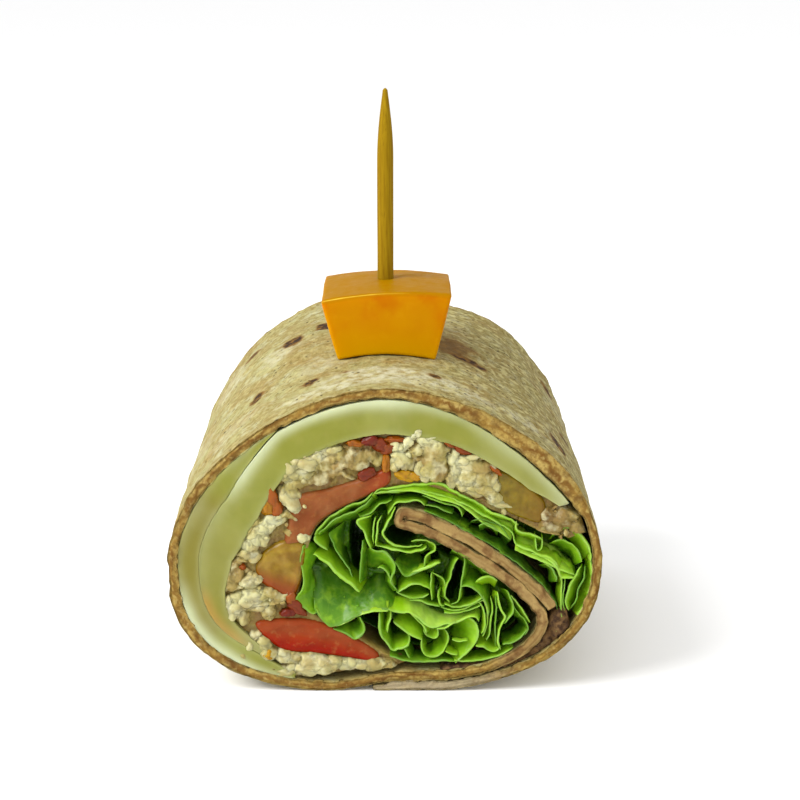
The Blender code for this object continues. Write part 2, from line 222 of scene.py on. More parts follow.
# Where the far end swells or shrinks: by what share of the distance from the middle, and at what angle
FULLER = ((0.095, math.radians(122)), (0.072, math.radians(56)), (-0.02, math.radians(8)))
FULLER_REACH = math.radians(50)
TORTILLA = 1.35  # thickness of the rolled bread


def outline(angle):
    """The superellipse |x / half width|^n + |z / height|^n = 1 at these angles, with its own n for each quarter,
    and nothing below the floor."""
    c, s = np.cos(angle), np.sin(angle)
    square = np.where(s >= 0, np.where(c >= 0, SQUARE_TOP_RIGHT, SQUARE_TOP_LEFT),
                      np.where(c >= 0, SQUARE_LOW_RIGHT, SQUARE_LOW_LEFT))
    height = np.where(s >= 0, RISE, DROP)
    radius = (np.abs(c / HALF_WIDTH) ** square + np.abs(s / height) ** square) ** (-1 / square)
    return np.stack([radius * c, np.maximum(CENTRE_HEIGHT + radius * s, 0.0)], axis=-1)


def rim(angle, depth=0.0):
    """The outline moved inwards by depth, at a right angle to itself."""
    angle = np.asarray(angle, float)
    along = outline(angle + 1e-3) - outline(angle - 1e-3)
    along /= np.linalg.norm(along, axis=-1, keepdims=True)
    inward = np.stack([-along[..., 1], along[..., 0]], axis=-1)
    return outline(angle) + inward * np.asarray(depth)[..., None]


def fuller_behind(points):
    """Scales each section about the roll's middle line by 1 + the swellings, times an S-curve that is 0 at the
    near end and 1 at the far end. A swelling is a squared cosine about its own angle."""
    x, y, z = points.T
    up = z - CENTRE_HEIGHT
    angle = np.arctan2(up, x)
    swell = sum(amount * np.cos(np.clip((angle - place) / FULLER_REACH, -1, 1) * math.pi / 2) ** 2
                for amount, place in FULLER)
    scale = 1 + swell * smoothstep(y / LENGTH + 0.5)
    return np.stack([x * scale, y, CENTRE_HEIGHT + up * scale], axis=1)


def smooth_through(points, per_span, closed=False):
    """A Catmull-Rom curve through the points, with per_span steps for each stretch between two of them."""
    p = np.asarray(points, float)
    p = (np.concatenate([p[-1:], p, p[:2]]) if closed
         else np.concatenate([2 * p[:1] - p[1:2], p, 2 * p[-1:] - p[-2:-1]]))
    t = (np.arange(per_span) / per_span)[None, :, None]
    a, b, c, d = (p[i : len(p) - 3 + i, None, :] for i in range(4))
    curve = 0.5 * (2 * b + (c - a) * t + (2 * a - 5 * b + 4 * c - d) * t**2 + (3 * b - a - 3 * c + d) * t**3)
    curve = curve.reshape(-1, p.shape[1])
    return curve if closed else np.concatenate([curve, p[-2:-1]])


def along_line(line, shares):
    """Places on a line of points at these shares, 0 to 1, of its length."""
    steps = np.linalg.norm(np.diff(line, axis=0), axis=1)
    length = np.concatenate([[0], np.cumsum(steps)])
    shares = np.asarray(shares) * length[-1]
    return np.stack([np.interp(shares, length, line[:, k]) for k in range(line.shape[1])], axis=-1)


def beside(path, distance):
    """A path moved to its left by distance, one for all points or one each."""
    ahead = np.gradient(path, axis=0)
    ahead /= np.linalg.norm(ahead, axis=1, keepdims=True)
    return path + np.stack([-ahead[:, 1], ahead[:, 0]], axis=1) * np.reshape(distance, (-1, 1))


outside = outline(np.linspace(0, 2 * math.pi, 721))
print("outline: %.1f mm wide, %.1f mm high" % tuple(np.ptp(outside, axis=0)))

# %% [markdown]
# A mesh is made from arrays: the points go through the swelling, become metres and are written with
# foreach_set. A closed mesh encloses a positive volume when its faces point outwards, so the sign of the
# volume tells whether the faces have to be turned round. Marks are values at each point that a material can
# read.


# %% From arrays to a piece
def volume(points, faces):
    """The volume that four-sided faces enclose, as the sum of the pyramids from the origin."""
    a, b, c, d = (points[faces[:, k]] for k in range(4))
    return (np.einsum("ij,ij->", a, np.cross(b, c)) + np.einsum("ij,ij->", a, np.cross(c, d))) / 6


def make_piece(name, points, faces, look, node, marks=None, swell=True):
    """A closed mesh from points in millimetres and four-sided faces, with its material, which stands for a node
    of the frame. marks are values at each point that the material reads."""
    points = fuller_behind(points) if swell else points
    if volume(points, faces) < 0:
        faces = faces[:, ::-1]
    mesh = bpy.data.meshes.new(name)
    mesh.vertices.add(len(points))
    mesh.vertices.foreach_set("co", (points * MM).astype(np.float32).ravel())
    mesh.loops.add(faces.size)
    mesh.loops.foreach_set("vertex_index", faces.astype(np.int32).ravel())
    mesh.polygons.add(len(faces))
    mesh.polygons.foreach_set("loop_start", np.arange(0, faces.size, 4, dtype=np.int32))
    mesh.polygons.foreach_set("use_smooth", np.ones(len(faces), bool))
    mesh.update()
    mesh.validate()
    for mark, values in (marks or {}).items():
        layer = mesh.attributes.new(mark, "FLOAT", "POINT")
        layer.data.foreach_set("value", np.asarray(values, np.float32))
    mesh.materials.append(look)
    obj = bpy.data.objects.new(name, mesh)
    bpy.context.scene.collection.objects.link(obj)
    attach(obj, "root")
    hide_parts(node)
    print(f"{name}: {2 * len(faces)} triangles")


# %% [markdown]
# Materials are small node trees, and the same few nodes come back in each: a noise, a ramp of colours, a
# mix of two colours, a mark of the mesh, and a bump. The helper below keeps a tree and adds them in one
# line each. Colours are written as they look on a screen, 0 to 255, and turned into the linear values that
# Blender mixes.


# %% A helper for materials
def screen(red, green, blue):
    """A colour in linear light from screen values 0 to 255, by the usual power of 2.4 above a short line."""
    c = np.array([red, green, blue]) / 255
    linear = np.where(c <= 0.04045, c / 12.92, ((c + 0.055) / 1.055) ** 2.4)
    return (*(float(v) for v in linear), 1.0)


class Finish:
    """A material with a Principled shader. Each method adds one node and gives its output socket."""

    def __init__(self, name, roughness, **sockets):
        self.look = bpy.data.materials.new(name)
        self.look.use_nodes = True
        self.nodes, self.links = self.look.node_tree.nodes, self.look.node_tree.links
        self.shader = self.nodes["Principled BSDF"]
        self.shader.inputs["Roughness"].default_value = roughness
        self.shader.inputs["Specular IOR Level"].default_value = 0.22
        for socket, value in sockets.items():
            self.shader.inputs[socket.replace("_", " ")].default_value = value
        self.place = self.nodes.new("ShaderNodeTexCoord").outputs["Object"]

    def put(self, value, socket):
        """Links an output to an input, or sets the input's own value."""
        if isinstance(value, bpy.types.NodeSocket):
            self.links.new(value, socket)
        else:
            socket.default_value = value

    def stretched(self, x, y, z):
        """Object coordinates scaled by one factor on each axis."""
        node = self.nodes.new("ShaderNodeMapping")
        self.links.new(self.place, node.inputs["Vector"])
        node.inputs["Scale"].default_value = (x, y, z)
        return node.outputs["Vector"]

    def noise(self, size, detail=3.0, where=None):
        """A noise whose waves are size millimetres long."""
        node = self.nodes.new("ShaderNodeTexNoise")
        self.links.new(where or self.place, node.inputs["Vector"])
        node.inputs["Scale"].default_value = 1 / (size * MM)
        node.inputs["Detail"].default_value = detail
        return node.outputs["Fac"]

    def cells(self, size, feature="F1"):
        """Distance to the nearest of random points that lie about size millimetres apart, or to the nearest
        border between their cells."""
        node = self.nodes.new("ShaderNodeTexVoronoi")
        self.links.new(self.place, node.inputs["Vector"])
        node.feature = feature
        node.inputs["Scale"].default_value = 1 / (size * MM)
        return node.outputs["Distance"]

    def mark(self, name):
        """A value that the mesh holds at each point."""
        node = self.nodes.new("ShaderNodeAttribute")
        node.attribute_name = name
        return node.outputs["Fac"]

    def range(self, value, low, high, to_low=0.0, to_high=1.0):
        """A value stretched from low..high to to_low..to_high, and kept within it."""
        node = self.nodes.new("ShaderNodeMapRange")
        self.put(value, node.inputs["Value"])
        for socket, number in zip(("From Min", "From Max", "To Min", "To Max"), (low, high, to_low, to_high)):
            node.inputs[socket].default_value = number
        return node.outputs["Result"]

    def sum(self, kind, a, b):
        """Two values added, multiplied and so on."""
        node = self.nodes.new("ShaderNodeMath")
        node.operation = kind
        self.put(a, node.inputs[0])
        self.put(b, node.inputs[1])
        return node.outputs["Value"]

    def mix(self, share, a, b):
        """Colour a, turning into b as share goes from 0 to 1."""
        node = self.nodes.new("ShaderNodeMix")
        node.data_type = "RGBA"
        self.put(share, node.inputs[0])
        self.put(a, node.inputs[6])
        self.put(b, node.inputs[7])
        return node.outputs[2]

    def colour(self, value):
        """Gives the shader its colour."""
        self.put(value, self.shader.inputs["Base Color"])

    def rough(self, value):
        """Gives the shader its roughness, from 0 for a mirror to 1 for chalk."""
        self.put(value, self.shader.inputs["Roughness"])

    def bump(self, height, strength, depth):
        """A relief of depth millimetres in the shading only. A second one builds on the first."""
        node = self.nodes.new("ShaderNodeBump")
        node.inputs["Strength"].default_value = strength
        node.inputs["Distance"].default_value = depth * MM
        self.links.new(height, node.inputs["Height"])
        before = self.shader.inputs["Normal"]
        if before.is_linked:
            self.links.new(before.links[0].from_socket, node.inputs["Normal"])
        self.links.new(node.outputs["Normal"], before)


print("screen grey 128 is %.3f in linear light" % screen(128, 128, 128)[0])

# %% [markdown]
# ## The tortilla
# It is one sheet, thinner at its outer end under the roll. It goes once round, climbs onto its own outer
# end, turns up into the lettuce and is folded double there. So the piece is a block bent along that path:
# one direction runs along the path, one through the bread and one along the wrap. The bread is baked in
# spots, so its skin has low swellings and small blisters, and the cut edge is torn a little, in thin
# layers.

# %% The path of the sheet
FOLDED_TORTILLA = 1.5
FOLD_GAP = 0.15
PINCH, GAPE, SQUARISH = 0.06, 0.24, 0.3  # how the halves of the fold close and part, and the power of its loop
SLITS = [(0.12, 0.05), (0.42, 0.06), (0.60, 0.02), (0.88, 0.10)]  # where the fold gapes: place and reach
OUTER_END, LEAVE_RIM = math.radians(265), math.radians(670)
LIFT_FROM, LIFT_TO = math.radians(608), math.radians(638)
END_TAPER, END_SHARE = math.radians(12), 0.5
FOLD_LINE = [(2.8, 24.75), (5.4, 24.0), (9.9, 21.7), (13.5, 19.3), (16.7, 17.0), (20.3, 13.7), (21.9, 11.6)]
RISE_PATH = [(18.3, 5.5), (20.3, 7.4), (21.3, 9.3)]


def sheet_path():
    """The middle of the sheet in section, from its outer end to its inner end, and its thickness: the outline
    moved inwards by half the thickness, then both sides of the fold line, joined by half a squarish loop,
    |cos|^0.3 and |sin|^0.3."""
    turn = np.linspace(OUTER_END, LEAVE_RIM, 500)
    thick = TORTILLA * (END_SHARE + (1 - END_SHARE) * smoothstep((turn - OUTER_END) / END_TAPER))
    lift = (TORTILLA + FOLD_GAP) * smoothstep((turn - LIFT_FROM) / (LIFT_TO - LIFT_FROM))
    rolled = rim(turn, thick / 2 + lift)
    fold = smooth_through(FOLD_LINE, 8)
    share = np.arange(len(fold)) / (len(fold) - 1)
    gape = sum(np.exp(-((share - place) / reach) ** 2) for place, reach in SLITS)
    half = (FOLDED_TORTILLA - PINCH + GAPE * gape) / 2
    lower, upper = beside(fold, -half)[::-1], beside(fold, half)
    inwards = (fold[1] - fold[0]) / np.linalg.norm(fold[1] - fold[0])
    upwards = np.array([-inwards[1], inwards[0]])
    sweep = np.radians(np.linspace(-90, 90, 24))[1:-1, None]
    square = (np.abs(np.cos(sweep)) ** SQUARISH,
              np.sign(np.sin(sweep)) * np.abs(np.sin(sweep)) ** SQUARISH)
    hairpin = fold[0] + half[0] * (square[1] * upwards - square[0] * inwards)
    rise = smooth_through([rolled[-1], *RISE_PATH, lower[0]], 8)[1:-1]
    path = np.concatenate([rolled, rise, lower, hairpin, upper])
    folded = np.full(len(path) - len(rolled), FOLDED_TORTILLA)
    return path, np.concatenate([thick, folded])


def even_steps(path, values, count):
    """The path with count + 1 points, closer together where it bends: a step is counted as its length plus
    a millimetre for each 40 degrees of turn."""
    step = np.diff(path, axis=0)
    heading = np.unwrap(np.arctan2(step[:, 1], step[:, 0]))
    bend = np.abs(np.gradient(heading)) / math.radians(40)
    counted = np.concatenate([[0], np.cumsum(np.linalg.norm(step, axis=1) + bend)])
    wanted = np.linspace(0, counted[-1], count + 1)
    return (np.stack([np.interp(wanted, counted, path[:, k]) for k in (0, 1)], axis=1),
            np.interp(wanted, counted, values))


PATH_CELLS, BREAD_CELLS, WRAP_CELLS = 360, 6, 112
sheet_line, sheet_thick = even_steps(*sheet_path(), PATH_CELLS)
sheet_run = np.concatenate([[0], np.cumsum(np.linalg.norm(np.diff(sheet_line, axis=0), axis=1))])
print("sheet: %.0f mm long in section" % sheet_run[-1])

# %% Blisters, waves and the torn edge
# Each toasted spot: angle on the roll, place along it, half length, half width, slant in degrees, darkness
TOASTED = [(22, -4, 1.6, 1.17, 30, 0.7), (28, -14.2, 2, 1.3, 60, 0.95), (34.8, 6, 1.4, 1.04, 0, 0.5),
           (28, 14, 2, 1.3, 20, 0.7), (62, -3.6, 3.0, 1.1, 14, 0.9), (68, 0.5, 3.6, 4.6, 0, 0.5),
           (73.8, -16.6, 1, 0.7, 0, 0.9), (81, 16, 1.8, 2.4, 0, 0.6), (103.2, -14.1, 0.7, 0.6, 0, 0.6),
           (111.2, 10.3, 1.4, 1.8, 0, 0.95), (115.2, -14.5, 1.1, 1.4, 20, 0.85),
           (122.5, 8.5, 1.9, 1.8, 25, 0.9), (135.5, -7.9, 1.5, 1.2, -25, 1), (140, 17, 1.6, 1.6, 40, 0.6),
           (158, 3, 1.2, 0.91, 0, 0.5), (170, -18, 0.6, 0.52, 0, 0.7), (176, 12, 2.2, 1.43, 30, 0.7),
           (196, -6, 1.3, 0.78, 10, 0.6), (340, -9, 1.6, 1.17, 20, 0.8), (348, 12, 1.9, 1.3, 60, 0.7),
           (5, 18, 1.2, 0.91, 0, 0.7), (8, -20, 0.8, 0.65, 0, 0.6)]
# Each floured patch: the same six values
FLOURED = [(92, -17.0, 7.0, 3.6, 0, 0.9), (78, -19.0, 9.0, 3.0, 0, 0.8), (104, -20.0, 9.0, 2.2, 0, 0.8),
           (112, -8.0, 4.0, 3.0, 0, 0.4), (128, 6.0, 3.0, 4.0, 0, 0.6),
           (145, -14.0, 5.0, 3.0, 0, 0.35), (150, 14.0, 4.0, 5.0, 0, 0.5), (60, -20.0, 4.0, 2.2, 0, 0.5),
           (44, -18.0, 4.0, 2.0, 0, 0.6), (75, 12.0, 5.0, 6.0, 0, 0.3), (165, -4.0, 5.0, 6.0, 0, 0.35),
           (20, 10.0, 5.0, 6.0, 0, 0.35)]
BLISTERS, BLISTER_SMALL, BLISTER_LARGE = 260, 0.8, 2.6
WAVE_HEIGHT, GRAIN_HEIGHT, BLISTER_HEIGHT, SKIN_SUNK = 0.22, 0.10, 0.10, 0.12
ONCE_ROUND = 560  # degrees: up to here the sheet is the outer turn
FOLDED_RUN = 62  # mm of the sheet at its inner end that are folded double or lead there
cell, tortilla_faces = skin_of_block((PATH_CELLS, BREAD_CELLS, WRAP_CELLS))
ahead = np.gradient(sheet_line, axis=0)
ahead /= np.linalg.norm(ahead, axis=1, keepdims=True)
outward = np.stack([ahead[:, 1], -ahead[:, 0]], axis=1)
run = sheet_run[cell[:, 0]]
through = 0.5 - cell[:, 1] / BREAD_CELLS  # 0.5 on the outer face, -0.5 on the inner face
wrap_places = -LENGTH / 2 + LENGTH * crowded(WRAP_CELLS, 0.72)
along = wrap_places[cell[:, 2]]
end_distance = LENGTH / 2 - np.abs(along)
random = np.random.default_rng(4)
blister_place = np.stack([random.uniform(0, sheet_run[-1], BLISTERS),
                          random.uniform(-LENGTH / 2, LENGTH / 2, BLISTERS)], axis=1)
blister_size = random.uniform(BLISTER_SMALL, BLISTER_LARGE, BLISTERS)
blisters = crumbs(run, along, blister_place, blister_size)
waves = field(np.stack([run, along], axis=1), 9.0, 2)
grain = field(np.stack([run, along], axis=1), 1.3, 3)
outer_face = np.clip(2 * through, 0, 1)
around = np.degrees(np.unwrap(np.arctan2(sheet_line[:, 1] - CENTRE_HEIGHT, sheet_line[:, 0]))) + 360
turn_once = np.maximum.accumulate(around[around < ONCE_ROUND]) - 360
middle_line = sheet_line[cell[:, 0]]
clear_of_floor = smoothstep((middle_line[:, 1] - 0.5) / 3)
skin_height = WAVE_HEIGHT * waves + GRAIN_HEIGHT * grain + BLISTER_HEIGHT * blisters
lift = outer_face * clear_of_floor * skin_height - SKIN_SUNK * outer_face
turn = around[cell[:, 0]] % 360
signed_turn = (turn + 180) % 360 - 180
rolled_once = around[cell[:, 0]] < ONCE_ROUND
soft_inside = np.interp(turn, (12, 24, 45, 62, 80, 92), (0, 1.1, 1.4, 0.8, 0.25, 0)) * rolled_once
lift = lift - soft_inside * (0.5 - through) * (0.85 + 0.15 * smoothstep((end_distance - 0.1) / 1.6))
layers = field(np.stack([run / 6, through * sheet_thick[cell[:, 0]] * 4], axis=1), 1.0, 5, 3)
torn = field(np.stack([run, through * 2, along], axis=1), 0.9, 6, 3)
at_cut = (cell[:, 2] == 0) | (cell[:, 2] == WRAP_CELLS)
folded = smoothstep((run - sheet_run[-1] + FOLDED_RUN) / 4)
rounding = 0.30 * (2 * np.abs(through)) ** 4 * (1 - folded * (through > 0))
set_back = at_cut * (0.20 + 0.24 * layers + 0.26 * torn + rounding)
near_cut = np.exp(-end_distance / 0.5)
ragged = near_cut * torn * (0.22 * (through > 0.4) + 0.45 * (through < -0.4))
side = through * sheet_thick[cell[:, 0]] + lift + ragged
section = middle_line + outward[cell[:, 0]] * side[:, None]
section[:, 1] = np.maximum(section[:, 1], 0.0)
tortilla_points = np.stack([section[:, 0], along - np.sign(along) * set_back, section[:, 1]], axis=1)


def spots(rows):
    """A mark that is strongest at the middle of each spot and ends raggedly at its rim."""
    at = np.interp([(row[0] + 95) % 360 - 95 for row in rows], turn_once, sheet_run[: len(turn_once)])
    value = np.zeros(len(run))
    for (_, spot_y, long, wide, slant, strength), spot_run in zip(rows, at):
        c, s = math.cos(math.radians(slant)), math.sin(math.radians(slant))
        dr, dy = run - spot_run, along - spot_y
        off = np.hypot((dr * c + dy * s) / long, (dy * c - dr * s) / wide) + 0.5 * torn
        value = np.maximum(value, strength * smoothstep((1.25 - off) / 0.6))
    return value * outer_face


tortilla_marks = {
    "toasted": spots(TOASTED),
    "floured": spots(FLOURED),
    "right": smoothstep((100 - signed_turn) / 55) * smoothstep((signed_turn + 70) / 50),
    "cut": np.maximum(at_cut, np.exp(-end_distance / 0.35)),
    "across": 0.5 + through,
    "layer": 0.5 + 0.5 * layers,
    "folded": folded,
    "low": smoothstep((turn - 210) / 25) * smoothstep((322 - turn) / 20) * rolled_once,
    "dark": 0 * run,
}

# %% [markdown]
# Its skin is floury and pale, with fine dark pores, a few toasted spots and a warmer tone where the flour
# has come off. The cut edge is brown and crumbly, in streaks along the sheet. The mark named cut tells them
# apart.

# %% Tortilla finish
bread = Finish("wheat_tortilla", 0.85)
right = bread.mark("right")
warm = bread.range(bread.noise(6, 5), 0.36, 0.64)
skin = bread.mix(warm, screen(152, 147, 96), screen(143, 123, 70))
flour = bread.range(bread.noise(2.6, 6), 0.52, 0.68, 0, 0.85)
skin = bread.mix(flour, skin, screen(168, 165, 128))
mottle = bread.range(bread.noise(0.8, 5), 0.47, 0.6, 0.0, 0.7)
skin = bread.mix(mottle, skin, screen(126, 110, 54))
# Painted shade: the right side, away from the lamp, is painted darker, and also warmer in tone.
skin = bread.mix(bread.sum("MULTIPLY", right, 0.3), skin, screen(122, 106, 44))
floured = bread.sum("MULTIPLY", bread.mark("floured"), bread.range(bread.noise(1.2, 5), 0.35, 0.6))
skin = bread.mix(floured, skin, screen(186, 182, 150))
grains = bread.range(bread.noise(0.5, 3), 0.56, 0.62, 0.0, 0.85)
skin = bread.mix(bread.sum("MULTIPLY", grains, bread.range(right, 0, 1, 0.15, 1.0)), skin, screen(80, 66, 20))
dust = bread.sum("MULTIPLY", bread.range(bread.noise(1.0, 5), 0.52, 0.62, 0.0, 0.65),
                 bread.range(right, 0, 1, 0.5, 1.0))
skin = bread.mix(dust, skin, screen(190, 180, 122))
pore = bread.range(bread.cells(1.1), 0.24, 0.14)
pore = bread.sum("MULTIPLY", pore, bread.range(bread.noise(1.9, 3), 0.50, 0.60, 0.0, 0.9))
skin = bread.mix(pore, skin, screen(58, 42, 10))
toasted_spots = bread.range(bread.mark("toasted"), 0.08, 0.6)
skin = bread.mix(toasted_spots, skin, screen(118, 84, 28))
char = bread.sum("MULTIPLY", bread.range(bread.mark("toasted"), 0.35, 0.8),
                 bread.range(bread.noise(1.1, 3), 0.38, 0.56))
skin = bread.mix(char, skin, screen(44, 25, 5))
streaks = bread.range(bread.mark("layer"), 0.3, 0.75)
wander = bread.sum("ADD", bread.mark("across"), bread.range(bread.noise(1.6, 4), 0.3, 0.7, -0.35, 0.35))
from_middle = bread.sum("ABSOLUTE", bread.sum("SUBTRACT", wander, 0.5), 0.0)
edge = bread.mix(bread.range(from_middle, 0.08, 0.4), screen(102, 66, 18), screen(168, 144, 78))
edge = bread.mix(bread.sum("MULTIPLY", streaks, 0.5), edge, screen(146, 116, 50))
bright = bread.range(bread.noise(4.0, 3), 0.42, 0.62, 0, 0.45)
edge = bread.mix(bright, edge, screen(158, 126, 54))
grit = bread.range(bread.noise(0.5, 4), 0.48, 0.66, 0, 0.6)
edge = bread.mix(grit, edge, screen(104, 74, 26))
pale = bread.range(bread.noise(0.8, 4), 0.56, 0.68, 0, 0.5)
edge = bread.mix(pale, edge, screen(172, 150, 88))
edge = bread.mix(bread.sum("MULTIPLY", bread.mark("folded"), 0.8), edge,
                 bread.mix(streaks, screen(128, 100, 56), screen(166, 140, 88)))
rosy = bread.sum("MULTIPLY", bread.mark("folded"), bread.range(bread.noise(1.7, 4), 0.5, 0.66, 0, 0.55))
edge = bread.mix(rosy, edge, screen(112, 74, 44))
edge = bread.mix(bread.sum("MULTIPLY", bread.mark("low"), 0.75), edge, screen(166, 154, 124))
crumb = bread.mix(bread.range(bread.noise(0.9, 4), 0.4, 0.6), screen(60, 40, 24), screen(112, 84, 50))
edge = bread.mix(bread.mark("dark"), edge, crumb)
burnt = bread.range(bread.noise(1.7, 5), 0.54, 0.68, 0, 0.6)
edge = bread.mix(burnt, edge, screen(92, 62, 22))
bread.colour(bread.mix(bread.mark("cut"), skin, edge))
bread.bump(bread.noise(0.4, 5), 0.8, 0.16)
bread.bump(bread.noise(1.8, 4), 0.5, 0.3)

# %% [markdown]
# The other layers are blocks between two curves: the same curves all along the wrap, with rounded edges and
# a face of their own at each cut end.


# %% Blocks between two curves
def joined(sets):
    """Several sets of points, faces and marks as one."""
    offsets = np.cumsum([0] + [len(points) for points, _, _ in sets])
    return (np.concatenate([points for points, _, _ in sets]),
            np.concatenate([faces + offset for (_, faces, _), offset in zip(sets, offsets)]),
            {mark: np.concatenate([marks[mark] for _, _, marks in sets]) for mark in sets[0][2]})


def rounded_ends(distance, radius):
    """How far a face lies behind its plane at this distance from its edge: a quarter circle of this radius."""
    short = np.clip(radius - distance, 0, radius)
    return radius - np.sqrt(radius**2 - short**2)


def slab(sections, cells, crowd, half_length, radius, relief=None):
    """A block between two curves. sections(s, t) gives x and z at share s along and t across. The ends are at
    half_length, rounded by radius, and relief(x, z, end) is added outwards. Gives points, faces and s, t and
    the distance of each point from the nearest cut end."""
    cell, faces = skin_of_block(cells)
    s, t, v = (crowded(count, push)[cell[:, k]] for k, (count, push) in enumerate(zip(cells, crowd)))
    flat = sections(s, t)
    long, short = np.linspace(0, 1, 200), np.linspace(0, 1, 40)
    edge_s = np.concatenate([long, long, 0 * short, 0 * short + 1])
    edge_t = np.concatenate([0 * long, 0 * long + 1, short, short])
    border = sections(edge_s, edge_t)
    at_end = (cell[:, 2] == 0) | (cell[:, 2] == cells[2])
    near = np.full(len(flat), 1e3)
    near[at_end] = np.sqrt(((flat[at_end, None] - border[None]) ** 2).sum(axis=-1).min(axis=1))
    end = np.where(v < 0.5, -1.0, 1.0)
    inner = half_length - radius
    y = -inner + 2 * inner * v
    y = np.where(at_end, end * (half_length - rounded_ends(near, radius)), y)
    if relief is not None:
        y = y + at_end * end * relief(flat[:, 0], flat[:, 1], end) * smoothstep(near / (2 * radius))
    return np.stack([flat[:, 0], y, flat[:, 1]], axis=1), faces, s, t, half_length - np.abs(y)


# %% [markdown]
# Low on the right, where the sheet leaves its outer turn and climbs into the lettuce, the room between the
# two turns is full of soft brown crumb. It is a small block between the two, with a crumbly face, in the
# same piece.

# %% The crumb between the turns
CRUMB_INNER = smooth_through([(8.0, 3.3), (12.5, 3.7), (16.2, 4.5), (18.9, 5.6), (20.8, 7.2), (21.8, 9.0),
                              (22.4, 10.6), (23.2, 11.6), (24.4, 12.2)], 6)
CORNER_FROM, CORNER_SWEEP = 286, 52


def corner_sections(s, t):
    """From the inner face of the outer turn, 286 to 338 degrees, to the outer face of the inner turn."""
    outer = rim(np.radians(CORNER_FROM + CORNER_SWEEP * s), TORTILLA - 0.1)
    return outer + (along_line(CRUMB_INNER, s) - outer) * t[:, None]


def crumbly(x, z, end):
    """Folds of two fields: 0.5 - |field|, 0.9 times the coarse one and 0.4 times the fine one."""
    place = np.stack([x, z + 40 * end], axis=1)
    return 0.9 * (0.5 - np.abs(field(place, 1.4, 31, 2))) + 0.4 * (0.5 - np.abs(field(place, 0.5, 32, 2)))


points, faces, s, t, behind = slab(corner_sections, (120, 24, 8), (0.0, 0.0, 0.5), 24.0, 0.2, crumbly)
crumb_marks = {"toasted": 0 * s, "floured": 0 * s, "right": 0 * s, "cut": 1 + 0 * s, "across": 0.5 + 0 * s,
               "layer": 0.5 + 0.5 * field(points[:, [0, 2]], 0.8, 33), "folded": 0 * s,
               "low": 0 * s, "dark": 1 + 0 * s}
all_points, all_faces, marks = joined([(tortilla_points, tortilla_faces, tortilla_marks),
                                       (points, faces, crumb_marks)])
make_piece("wheat_tortilla_sheet", all_points, all_faces, bread.look, "tortilla", marks)

# %% [markdown]
# ## The cheese
# A long soft slice lies over the filling and a thin one between it and the bread on the left. Cheese bends
# but keeps its thickness. A pale band along the outer edge of each cut face, and a faint one along its inner
# edge, is painted highlight. Each slice is again a bent block, this time between two curves that follow the
# outline, with rounded edges and a face that a knife has pulled.


# %% The two slices
# Of the long slice: angle about the middle, depth of the outer face, thickness
LONG_CHEESE = np.array([
    (19, 2.25, 1.2), (30, 2.75, 2.6), (45, 2.75, 3.2), (62, 2.15, 3.8), (80, 1.68, 4.6), (105, 1.65, 4.75),
    (128, 1.7, 4.85), (140, 3.0, 4.9), (154, 4.3, 4.9), (170, 4.3, 5.1), (182, 4.2, 4.3), (192, 4.2, 3.1),
    (204, 4.2, 2.2), (216, 4.1, 1.5), (226, 3.7, 0.8)])
LEFT_FROM, LEFT_SWEEP = 128, 108
LEFT_CLEAR, LEFT_THIN, LEFT_THICK = 0.03, 0.2, 2.95


def long_slice(s, t):
    """Depth from the table at this angle, plus share t of the thickness there, less than half of it at the very
    ends."""
    turn = LONG_CHEESE[0, 0] + s * (LONG_CHEESE[-1, 0] - LONG_CHEESE[0, 0])
    outer, thick = (np.interp(turn, LONG_CHEESE[:, 0], LONG_CHEESE[:, k]) for k in (1, 2))
    ease = 1 - 0.55 * (np.clip(2 * s - 1, -1, 1) ** 2 > 0.995)
    return rim(np.radians(turn), outer + t * thick * ease)


def left_slice(s, t):
    """The slice just inside the bread, from 128 to 236 degrees. It fills the room that the long slice leaves,
    and thins towards its ends."""
    turn = LEFT_FROM + LEFT_SWEEP * s
    room = np.interp(turn, LONG_CHEESE[:, 0], LONG_CHEESE[:, 1]) - TORTILLA - LEFT_CLEAR
    thick = np.clip(room, LEFT_THIN, LEFT_THICK) * (1 - 0.35 * smoothstep((turn - 222) / 14))
    thick = thick * (1 - 0.5 * np.abs(2 * s - 1) ** 8)
    return rim(np.radians(turn), TORTILLA + LEFT_CLEAR + t * thick)


def pulled(x, z, end):
    """The low swellings that a knife leaves on a soft face."""
    return 0.16 * field(np.stack([x, z + 50 * end], axis=1), 4.0, 11) + 0.04 * field(
        np.stack([x, z + 50 * end], axis=1), 0.9, 12)


# %% Cheese finish
cheese = Finish("cheese", 0.38, Subsurface_Weight=0.35, Subsurface_Radius=(1.0, 0.8, 0.4), Subsurface_Scale=0.0016)
body = cheese.mix(cheese.range(cheese.noise(4.0, 3), 0.35, 0.7), screen(122, 124, 38), screen(130, 131, 50))
body = cheese.mix(cheese.range(cheese.noise(1.5, 4), 0.5, 0.75, 0, 0.3), body, screen(136, 131, 58))
body = cheese.mix(cheese.mark("pale"), body, screen(134, 134, 66))
body = cheese.mix(cheese.mark("golden"), body, screen(118, 108, 36))
body = cheese.mix(cheese.mark("juice"), body, screen(150, 112, 4))
# The pale band along the edges of the cut face is painted highlight.
cheese.colour(cheese.mix(cheese.mark("edge_highlight"), body, screen(184, 190, 150)))
cheese.rough(cheese.range(cheese.noise(1.2, 3), 0.3, 0.7, 0.28, 0.5))
cheese.bump(cheese.noise(0.8, 4), 0.25, 0.1)

